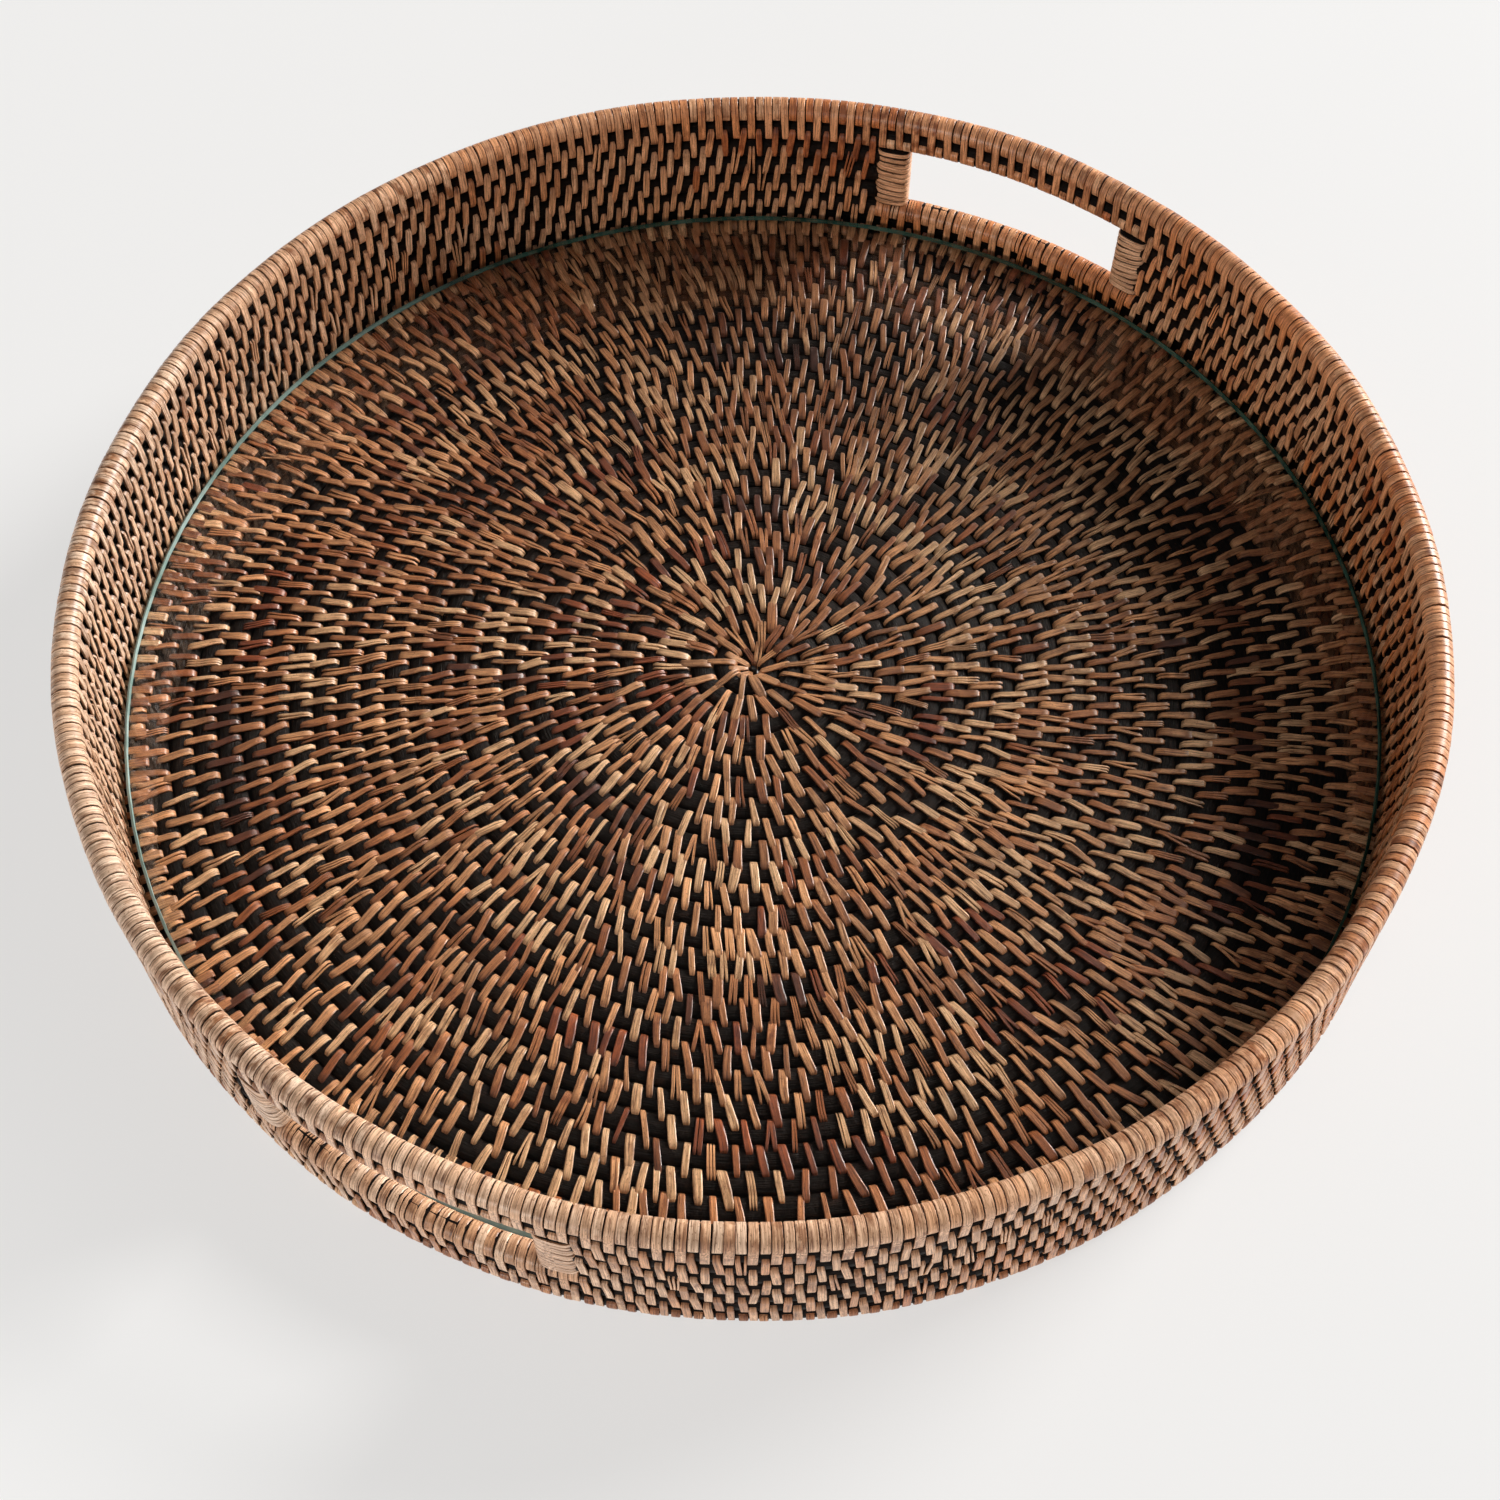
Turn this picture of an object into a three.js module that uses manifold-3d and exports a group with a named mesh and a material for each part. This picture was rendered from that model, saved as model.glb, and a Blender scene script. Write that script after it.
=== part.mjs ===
// Round coiled-rattan tray basket with two cut-out hand holds and a loose
// round glass insert.
//
// Dark foundation canes run round the tray: a spiral for the base, a stack of
// hoops for the wall and one hoop for the rim.  Split-cane skins bind them.
// The hand holds interrupt three wall rows, so each of those rows is two arcs
// that stop short of wrapped upright posts.
//
// Millimetres, +Z up.  Origin: centre of the circle the tray stands on.
// The hand holds are on the X axis: number 1 at +X, number 2 at -X.

import * as THREE from "three";
import * as BufferGeometryUtils from "three/addons/utils/BufferGeometryUtils.js";
import Module from "manifold-3d";

const wasm = await Module();
wasm.setup();

const { degToRad, radToDeg } = THREE.MathUtils;

// ---------------------------------------------------------------- dimensions
const GAP = 0.3;                 // clearance between neighbouring pieces
const SKIN_T = 0.9;              // thickness of the split-cane binding

// Wall
const ROW_H = 10.0;              // height of one bound row
const WALL_ROWS = 7;             // rows below the rim
const WALL_MID_R = 249.3;        // centre line of the wall canes
const WALL_HALF_T = 5.0;         // half of the bound wall thickness
const WALL_IN_R = WALL_MID_R - WALL_HALF_T;
const WALL_OUT_R = WALL_MID_R + WALL_HALF_T;
const WALL_CANE_R = 3.4;
const WALL_FOOT_EASE = 2.0;      // height of the eased outer corners at the foot
const TOP_ROW_TRIM = 0.2;        // bindings of the top row stop this far inside it
const WALL_TOP = WALL_ROWS * ROW_H - TOP_ROW_TRIM;

const rowCentreZ = (row) => (row - 0.5) * ROW_H;

// Rim
const RIM_Z = rowCentreZ(WALL_ROWS + 1);
const RIM_HALF = 5.1;            // half width of the bound rim
const RIM_CANE_R = 3.2;

// Hand holds
const SILL_ROW = 3;              // the hand holds stand on this row
const LINTEL_ROW = WALL_ROWS;    // and end below this one
const HOLE_HALF_DEG = 11.3;      // half angle of the clear opening
const HOLE_BOTTOM = SILL_ROW * ROW_H;
const HOLE_TOP = (LINTEL_ROW - 1) * ROW_H;
const POST_W = 15.0;             // width of the wrapped post along the wall
const POST_DEG = radToDeg(POST_W / WALL_MID_R);
const GAP_DEG = radToDeg(GAP / WALL_MID_R);
const NOTCH_DEG = HOLE_HALF_DEG + POST_DEG + GAP_DEG;  // half angle of the wall notch
const SLEEVE_EASE = 1.5;         // chamfer on the top edges of the sleeves

// Base
const BASE_PITCH = 9.2;          // radial pitch of the spiral
const BASE_Z0 = 6.1;             // underside of the bound base
const BASE_Z1 = 15.3;            // top of the bound base
const BASE_CANE_HALF = 3.2;      // half width and half height of its cane
const BASE_HOLE_R = 1.7;         // eye in the middle of the coil
const COIL_START_EXTRA = 0.4;    // added to the clearance round the eye
const BASE_EDGE_R = WALL_IN_R - GAP;
const BASE_EDGE_EASE = 1.2;      // chamfer round the outer edge

// Glass
const GLASS_R = 242.4;
const GLASS_T = 4.8;
const GLASS_Z0 = BASE_Z1 + GAP;
const GLASS_BEVEL = 1.0;

// Facet counts
const SEG_SKIN = 72;             // round a binding skin
const SEG_CANE = 48;             // round a full hoop of cane
const SEG_ARC = 20;              // along an interrupted wall cane
const SEG_HOLD = 8;              // across a hand hold
const SEG_GLASS = 96;
const CANE_SIDES = 6;
const INNER_TURNS = 8;           // base turns that use the coarser count
const INNER_TURN_STEPS = 12;
const OUTER_TURN_STEPS = 24;
const RIM_OUTER_STEPS = 6;       // round the half circles of the rim binding
const RIM_INNER_STEPS = 4;

// ----------------------------------------------------------------- materials
const rattan = (color, roughness) =>
  new THREE.MeshStandardMaterial({ color, roughness, metalness: 0.0 });

const caneMaterial = rattan(0x2a1d17, 0.75);
const bindingMaterial = rattan(0xa26a3d, 0.55);
const paleBindingMaterial = rattan(0xb98554, 0.5);
const glassMaterial = new THREE.MeshStandardMaterial({
  color: 0xcfe3da,
  roughness: 0.05,
  metalness: 0.0,
  transparent: true,
  opacity: 0.35,
});

// ------------------------------------------------------------------- helpers
const tray = new THREE.Group();

function addMesh(name, geometry, material) {
  geometry.computeVertexNormals();
  const mesh = new THREE.Mesh(geometry, material);
  mesh.name = name;
  tray.add(mesh);
}

// Turn the faces of a closed indexed mesh outward: flip them all if its
// signed volume is negative.
function outward(geometry) {
  const position = geometry.attributes.position;
  const index = Array.from(geometry.index.array);
  const corners = [0, 1, 2].map(() => new THREE.Vector3());
  const cross = new THREE.Vector3();
  let volume = 0;
  for (let i = 0; i < index.length; i += 3) {
    corners.forEach((corner, k) => corner.fromBufferAttribute(position, index[i + k]));
    volume += corners[0].dot(cross.crossVectors(corners[1], corners[2]));
  }
  if (volume < 0) {
    for (let i = 0; i < index.length; i += 3) {
      [index[i + 1], index[i + 2]] = [index[i + 2], index[i + 1]];
    }
    geometry.setIndex(index);
  }
  return geometry;
}

// Closed solid through stations { angle, profile } about the Z axis.  Angles
// are in radians; profiles are [r, z] polygons with equal point counts.
// The sweep either closes on itself or gets end caps.
function sweepSolid(stations, closed) {
  const sides = stations[0].profile.length;
  const count = stations.length;
  const positions = [];
  for (const { angle, profile } of stations) {
    for (const [r, z] of profile) {
      positions.push(r * Math.cos(angle), r * Math.sin(angle), z);
    }
  }

  const index = [];
  const spans = closed ? count : count - 1;
  for (let i = 0; i < spans; i++) {
    const here = i * sides;
    const next = ((i + 1) % count) * sides;
    for (let j = 0; j < sides; j++) {
      const k = (j + 1) % sides;
      index.push(here + j, here + k, next + k);
      index.push(here + j, next + k, next + j);
    }
  }
  if (!closed) {
    // both caps use the same triangles, reversed at the start
    const flat = stations[0].profile.map(([r, z]) => new THREE.Vector2(r, z));
    const end = (count - 1) * sides;
    for (const [a, b, c] of THREE.ShapeUtils.triangulateShape(flat, [])) {
      index.push(a, c, b);
      index.push(end + a, end + b, end + c);
    }
  }

  const geometry = new THREE.BufferGeometry();
  geometry.setAttribute("position", new THREE.Float32BufferAttribute(positions, 3));
  geometry.setIndex(index);
  return outward(geometry);
}

// Sweep an [r, z] profile round the Z axis between two angles in degrees.
function revolve(profile, segments, startDeg = 0, endDeg = 360) {
  const closed = endDeg - startDeg >= 360;
  const count = closed ? segments : segments + 1;
  const stations = [];
  for (let i = 0; i < count; i++) {
    const angle = degToRad(startDeg + ((endDeg - startDeg) * i) / segments);
    stations.push({ angle, profile });
  }
  return sweepSolid(stations, closed);
}

const boxProfile = (r0, r1, z0, z1) => [[r0, z0], [r1, z0], [r1, z1], [r0, z1]];

// Regular polygon on the wall's centre line.
function caneProfile(z, radius) {
  const points = [];
  for (let i = 0; i < CANE_SIDES; i++) {
    const angle = (2 * Math.PI * (i + 0.5)) / CANE_SIDES;
    points.push([WALL_MID_R + radius * Math.cos(angle), z + radius * Math.sin(angle)]);
  }
  return points;
}

// Keep positions only and join coincident vertices.
function weld(geometry, tolerance) {
  geometry.deleteAttribute("normal");
  geometry.deleteAttribute("uv");
  return BufferGeometryUtils.mergeVertices(geometry, tolerance);
}

function toManifold(geometry) {
  const welded = weld(geometry, 1e-5);
  return new wasm.Manifold(new wasm.Mesh({
    numProp: 3,
    vertProperties: new Float32Array(welded.attributes.position.array),
    triVerts: new Uint32Array(welded.index.array),
  }));
}

// Boolean difference: the body less each of the cutters.
function subtract(body, ...cutters) {
  let solid = toManifold(body);
  for (const cutter of cutters) solid = solid.subtract(toManifold(cutter));
  const { vertProperties, triVerts } = solid.getMesh();
  const geometry = new THREE.BufferGeometry();
  geometry.setAttribute("position", new THREE.Float32BufferAttribute(vertProperties, 3));
  geometry.setIndex(Array.from(triVerts));
  return geometry;
}

// --------------------------------------------------------------------- glass
// Disc with bevelled edges, lying on the base.
function glassInsert() {
  const top = GLASS_Z0 + GLASS_T;
  const outline = [
    [0, GLASS_Z0],
    [GLASS_R - GLASS_BEVEL, GLASS_Z0],
    [GLASS_R, GLASS_Z0 + GLASS_BEVEL],
    [GLASS_R, top - GLASS_BEVEL],
    [GLASS_R - GLASS_BEVEL, top],
    [0, top],
  ].map(([r, z]) => new THREE.Vector2(r, z));
  const lathe = new THREE.LatheGeometry(outline, SEG_GLASS);
  lathe.rotateX(Math.PI / 2);          // lathe axis Y becomes Z
  const disc = weld(lathe, 1e-4);

  // drop the zero-area triangles that sit on the axis
  const kept = [];
  const index = disc.index.array;
  for (let i = 0; i < index.length; i += 3) {
    const [a, b, c] = index.slice(i, i + 3);
    if (a !== b && b !== c && a !== c) kept.push(a, b, c);
  }
  disc.setIndex(kept);
  return outward(disc);
}

// ---------------------------------------------------------------------- base
// Square cane on an Archimedean spiral that runs outwards, clockwise seen
// from above.
function baseCane() {
  const half = BASE_CANE_HALF;
  const startR = BASE_HOLE_R + GAP + half + COIL_START_EXTRA;
  const endR = BASE_EDGE_R - SKIN_T - GAP - half;
  const midZ = (BASE_Z0 + BASE_Z1) / 2;
  const turnCount = (endR - startR) / BASE_PITCH;

  const turns = [];
  for (let i = 0; i < INNER_TURNS * INNER_TURN_STEPS; i++) {
    turns.push(i / INNER_TURN_STEPS);
  }
  const outerSteps = (turnCount - INNER_TURNS) * OUTER_TURN_STEPS;
  for (let i = 0; i < outerSteps; i++) {
    turns.push(INNER_TURNS + i / OUTER_TURN_STEPS);
  }
  turns.push(turnCount);

  const stations = turns.map((turn) => {
    const r = startR + BASE_PITCH * turn;
    return {
      angle: -2 * Math.PI * turn,
      profile: boxProfile(r - half, r + half, midZ - half, midZ + half),
    };
  });
  return sweepSolid(stations, false);
}

// One skin that passes over the coil, round its outer edge and back under it,
// open at the eye in the middle.
function baseBinding() {
  const innerEdgeR = BASE_EDGE_R - SKIN_T;
  const profile = [
    [BASE_HOLE_R, BASE_Z0],
    [BASE_EDGE_R - BASE_EDGE_EASE, BASE_Z0],
    [BASE_EDGE_R, BASE_Z0 + BASE_EDGE_EASE],
    [BASE_EDGE_R, BASE_Z1 - BASE_EDGE_EASE],
    [BASE_EDGE_R - BASE_EDGE_EASE, BASE_Z1],
    [BASE_HOLE_R, BASE_Z1],
    [BASE_HOLE_R, BASE_Z1 - SKIN_T],
    [innerEdgeR, BASE_Z1 - SKIN_T],
    [innerEdgeR, BASE_Z0 + SKIN_T],
    [BASE_HOLE_R, BASE_Z0 + SKIN_T],
  ];
  return revolve(profile, SEG_SKIN);
}

// ---------------------------------------------------------------------- wall
// Foundation cane of one row: a hoop, or a back arc (+Y) and a front arc (-Y)
// where the hand holds interrupt it.
function addWallCane(row) {
  const profile = caneProfile(rowCentreZ(row), WALL_CANE_R);
  const name = `wall_coil_${row}`;
  if (row > SILL_ROW && row < LINTEL_ROW) {
    const start = NOTCH_DEG + GAP_DEG;
    const back = revolve(profile, SEG_ARC, start, 180 - start);
    const front = revolve(profile, SEG_ARC, 180 + start, 360 - start);
    addMesh(`${name}_back`, back, caneMaterial);
    addMesh(`${name}_front`, front, caneMaterial);
  } else {
    addMesh(name, revolve(profile, SEG_CANE), caneMaterial);
  }
}

// Inner and outer skins joined under the bottom coil, open at the top, with a
// notch for each hand hold from the underside of the sill row upwards.
function wallBinding() {
  const profile = [
    [WALL_IN_R, WALL_TOP],
    [WALL_IN_R, WALL_FOOT_EASE],
    [WALL_IN_R + WALL_FOOT_EASE / 2, 0],
    [WALL_OUT_R - WALL_FOOT_EASE / 2, 0],
    [WALL_OUT_R, WALL_FOOT_EASE],
    [WALL_OUT_R, WALL_TOP],
    [WALL_OUT_R - SKIN_T, WALL_TOP],
    [WALL_OUT_R - SKIN_T, SKIN_T],
    [WALL_IN_R + SKIN_T, SKIN_T],
    [WALL_IN_R + SKIN_T, WALL_TOP],
  ];
  const overshoot = 10;                // the cutters pass the wall by this much
  const notchProfile = boxProfile(
    WALL_IN_R - overshoot, WALL_OUT_R + overshoot,
    (SILL_ROW - 1) * ROW_H, WALL_TOP + overshoot);
  const notches = [0, 180].map((side) =>
    revolve(notchProfile, SEG_HOLD, side - NOTCH_DEG, side + NOTCH_DEG));
  return subtract(revolve(profile, SEG_SKIN), ...notches);
}

// ----------------------------------------------------------------------- rim
// Close wrap over the rim cane: a saddle that is open underneath.
function rimBinding() {
  const outer = RIM_HALF;
  const inner = RIM_HALF - SKIN_T;
  const bottom = WALL_TOP + GAP;
  const arc = (radius, fromDeg, toDeg, steps) => {
    const points = [];
    for (let i = 0; i <= steps; i++) {
      const angle = degToRad(fromDeg + ((toDeg - fromDeg) * i) / steps);
      points.push([WALL_MID_R + radius * Math.cos(angle), RIM_Z + radius * Math.sin(angle)]);
    }
    return points;
  };
  const profile = [
    [WALL_MID_R + outer, bottom],
    ...arc(outer, 0, 180, RIM_OUTER_STEPS),
    [WALL_MID_R - outer, bottom],
    [WALL_MID_R - inner, bottom],
    ...arc(inner, 180, 0, RIM_INNER_STEPS),
    [WALL_MID_R + inner, bottom],
  ];
  return revolve(profile, SEG_SKIN);
}

// ---------------------------------------------------------------- hand holds
// Hollow sleeve round a row cane, across the notch of one hand hold, with
// both ends open.
function sleeve(side, row, halfHeight) {
  const start = side - NOTCH_DEG + GAP_DEG;
  const end = side + NOTCH_DEG - GAP_DEG;
  const bottom = rowCentreZ(row) - halfHeight;
  const top = rowCentreZ(row) + halfHeight;
  const outerProfile = [
    [WALL_IN_R, bottom],
    [WALL_OUT_R, bottom],
    [WALL_OUT_R, top - SLEEVE_EASE],
    [WALL_OUT_R - SLEEVE_EASE, top],
    [WALL_IN_R + SLEEVE_EASE, top],
    [WALL_IN_R, top - SLEEVE_EASE],
  ];
  const innerProfile = boxProfile(
    WALL_IN_R + SKIN_T, WALL_OUT_R - SKIN_T, bottom + SKIN_T, top - SKIN_T);
  // the bore runs one facet past each end
  const facet = (end - start) / SEG_HOLD;
  return subtract(
    revolve(outerProfile, SEG_HOLD, start, end),
    revolve(innerProfile, SEG_HOLD + 2, start - facet, end + facet));
}

// Plan of a post, inset from its full size: X across the wall, Y along it.
function postOutline(inset, chamfer) {
  const x = WALL_HALF_T - inset;
  const y = POST_W / 2 - inset;
  return [
    [-x + chamfer, -y], [x - chamfer, -y],
    [x, -y + chamfer], [x, y - chamfer],
    [x - chamfer, y], [-x + chamfer, y],
    [-x, y - chamfer], [-x, -y + chamfer],
  ].map(([px, py]) => new THREE.Vector2(px, py));
}

// Stand a plan shape upright in the wall, filling the height of the opening.
function uprightAt(angleDeg, shape) {
  const z0 = HOLE_BOTTOM + GAP / 2;
  const depth = HOLE_TOP - GAP / 2 - z0;
  const geometry = new THREE.ExtrudeGeometry(shape, { depth, bevelEnabled: false, steps: 1 });
  geometry.translate(WALL_MID_R, 0, z0);
  geometry.rotateZ(degToRad(angleDeg));
  return outward(weld(geometry, 1e-4));
}

function postBinding(angleDeg) {
  const shape = new THREE.Shape(postOutline(0, 2.2));
  shape.holes.push(new THREE.Path(postOutline(SKIN_T, 1.6)));
  return uprightAt(angleDeg, shape);
}

function postCore(angleDeg) {
  return uprightAt(angleDeg, new THREE.Shape(postOutline(SKIN_T + GAP, 1.4)));
}

// Sill and lintel sleeves with a wrapped post at each side of the opening.
function addHandHold(number, side) {
  const sill = sleeve(side, SILL_ROW, ROW_H / 2 - GAP / 2);
  const lintel = sleeve(side, LINTEL_ROW, ROW_H / 2 - TOP_ROW_TRIM);
  addMesh(`sill_binding_${number}`, sill, bindingMaterial);
  addMesh(`lintel_binding_${number}`, lintel, bindingMaterial);

  [-1, 1].forEach((direction, i) => {
    const postNumber = 2 * number - 1 + i;
    const angleDeg = side + direction * (HOLE_HALF_DEG + POST_DEG / 2);
    addMesh(`post_binding_${postNumber}`, postBinding(angleDeg), paleBindingMaterial);
    addMesh(`handle_post_${postNumber}`, postCore(angleDeg), caneMaterial);
  });
}

// ------------------------------------------------------------------ assembly
addMesh("glass_insert", glassInsert(), glassMaterial);
addMesh("base_coil_cane", baseCane(), caneMaterial);
addMesh("base_binding", baseBinding(), bindingMaterial);
for (let row = 1; row <= WALL_ROWS; row++) addWallCane(row);
addMesh("rim_cane", revolve(caneProfile(RIM_Z, RIM_CANE_R), SEG_CANE), caneMaterial);
addMesh("wall_binding", wallBinding(), bindingMaterial);
addMesh("rim_binding", rimBinding(), paleBindingMaterial);
addHandHold(1, 0);
addHandHold(2, 180);

export default tray;
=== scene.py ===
"""A round coiled-rattan tray basket with two hand holds and a loose glass insert.

The basket stands on z = 0, centred on the z axis.  Its hand holds are at +X and -X.
Every stitch of split cane is a closed band of its own, wrapped round its foundation
canes.  Lengths are millimetres while the bands are worked out; meshes, lights and
camera are in metres.
"""
import math

import bpy
import numpy as np
from mathutils import Matrix, Vector


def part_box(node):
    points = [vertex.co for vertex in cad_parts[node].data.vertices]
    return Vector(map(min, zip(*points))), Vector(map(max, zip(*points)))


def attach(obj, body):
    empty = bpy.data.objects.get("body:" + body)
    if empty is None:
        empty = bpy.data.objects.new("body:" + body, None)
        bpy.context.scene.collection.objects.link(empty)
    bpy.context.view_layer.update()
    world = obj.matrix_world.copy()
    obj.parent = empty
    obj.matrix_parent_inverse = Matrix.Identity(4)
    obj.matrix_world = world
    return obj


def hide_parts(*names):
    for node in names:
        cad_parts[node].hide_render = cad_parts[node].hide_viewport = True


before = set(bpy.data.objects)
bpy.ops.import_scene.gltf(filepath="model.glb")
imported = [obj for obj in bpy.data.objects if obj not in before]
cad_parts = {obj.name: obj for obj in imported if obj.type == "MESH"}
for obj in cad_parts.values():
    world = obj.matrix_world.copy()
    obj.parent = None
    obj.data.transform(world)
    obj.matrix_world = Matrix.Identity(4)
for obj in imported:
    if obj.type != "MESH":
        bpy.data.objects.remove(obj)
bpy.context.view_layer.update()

MM = 0.001


# ---------------------------------------------------------------- driving sizes
def span(part):
    """Lowest and highest corner of a part."""
    low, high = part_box(part)
    return [v * 1000.0 for v in low], [v * 1000.0 for v in high]


def middle_z(part):
    low, high = span(part)
    return (low[2] + high[2]) / 2


WALL_OUTER = span("wall_binding")[1][0]          # outer face of the bound wall
WALL_HALF = 5.0                                  # half the wall's thickness
WALL_RADIUS = WALL_OUTER - WALL_HALF             # middle of the wall
RIM_Z = middle_z("rim_cane")
ROW_1_Z = middle_z("wall_coil_1")
ROW_HEIGHT = (middle_z("wall_coil_7") - ROW_1_Z) / 6
BASE_LOW, BASE_HIGH = span("base_binding")
BASE_Z = (BASE_LOW[2] + BASE_HIGH[2]) / 2
BASE_RADIUS = BASE_HIGH[0]

# Strip thicknesses and cane radii
WALL_STRIP = 0.75
WALL_CANE = WALL_HALF - WALL_STRIP
WALL_CANE_HALF_HEIGHT = 4.95                     # wall canes are taller than they are wide
RIM_STRIP = 0.8
RIM_CANE = 4.15
BASE_STRIP = 0.72
BASE_CANE = (BASE_HIGH[2] - BASE_LOW[2]) / 2 - BASE_STRIP - 0.02
BASE_PITCH = 9.2                                 # from one turn of the base to the next

RIM_WRAPS = 432                                  # the wall has one stitch per two of these
WRAP_ANGLE = 2 * math.pi / RIM_WRAPS

# Hand holds: angles are in degrees from the middle of the opening
HANDLES = (0.0, math.pi)
HOLE_HALF = 11.3
POST_WIDTH = 15.0
POST_DEGREES = math.degrees(POST_WIDTH / WALL_RADIUS)
NOTCH = HOLE_HALF + POST_DEGREES
HOLE_BOTTOM = 3 * ROW_HEIGHT
HOLE_TOP = 6 * ROW_HEIGHT

# Every draw comes from this one generator, so the pieces are made in a fixed order.
rng = np.random.default_rng(20240611)


def row_z(row):
    return ROW_1_Z + (row - 1) * ROW_HEIGHT


# ------------------------------------------------------------------ small maths
def srgb(red, green, blue):
    """Linear colour from 0-255 sRGB."""
    c = np.array([red, green, blue], float) / 255.0
    return np.where(c <= 0.04045, c / 12.92, ((c + 0.055) / 1.055) ** 2.4)


def unit(vectors):
    return vectors / np.maximum(np.linalg.norm(vectors, axis=-1, keepdims=True), 1e-9)


def smooth01(x):
    x = np.clip(x, 0, 1)
    return x * x * (3 - 2 * x)


def signed_power(value, exponent):
    return np.sign(value) * np.abs(value) ** exponent


def warp(points):
    """Hand-made unevenness, shared by canes and stitches, so they stay together."""
    x, y, z = points[..., 0], points[..., 1], points[..., 2]
    radius = np.hypot(x, y)
    angle = np.arctan2(y, x)
    wall = smooth01((radius - 222.0) / 22.0)
    outwards = wall * (0.40 * np.sin(2 * angle + 0.7) + 0.28 * np.sin(5 * angle + 2.1)
                       + 0.22 * np.sin(9 * angle + 4.0 + z * 0.05)
                       + 0.16 * np.sin(17 * angle + 0.09 * z))
    height = np.clip(z / 80.0, 0, 1)
    wall_rise = wall * height * (0.35 * np.sin(3 * angle + 1.0) + 0.25 * np.sin(8 * angle + 0.5)
                                 + 0.14 * np.sin(19 * angle + 2.2))
    base_rise = (1 - wall) * (-0.16 + 0.08 * np.sin(x * 0.045 + 1.0)
                              + 0.08 * np.sin(y * 0.05 + 0.4 + x * 0.012))
    scale = 1 + outwards / np.maximum(radius, 1.0)
    return np.stack([x * scale, y * scale, z + wall_rise + base_rise], -1)


# --------------------------------------------------------------- mesh building
# Cross-sections of a split-cane strip: flat below, gently domed above, crisp sides.
# Columns: place across in half widths, height in thicknesses.
SECTION = np.array([[-1.0, 0.0], [-0.99, 0.76], [-0.78, 1.0],
                    [0.78, 1.0], [0.99, 0.76], [1.0, 0.0]])
RIM_SECTION = np.array([[-1.0, 0.0], [-0.995, 0.80], [-0.88, 1.0],
                        [0.88, 1.0], [0.995, 0.80], [1.0, 0.0]])
STRIP_CORNERS = len(SECTION)
SECTION_V = np.array([0.0, 0.11, 0.24, 0.66, 0.79, 0.90, 1.0])   # texture place of each corner
SHARP_CORNERS = (1, 2, 3, 4)
TEXEL = 1.0 / 1024


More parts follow.
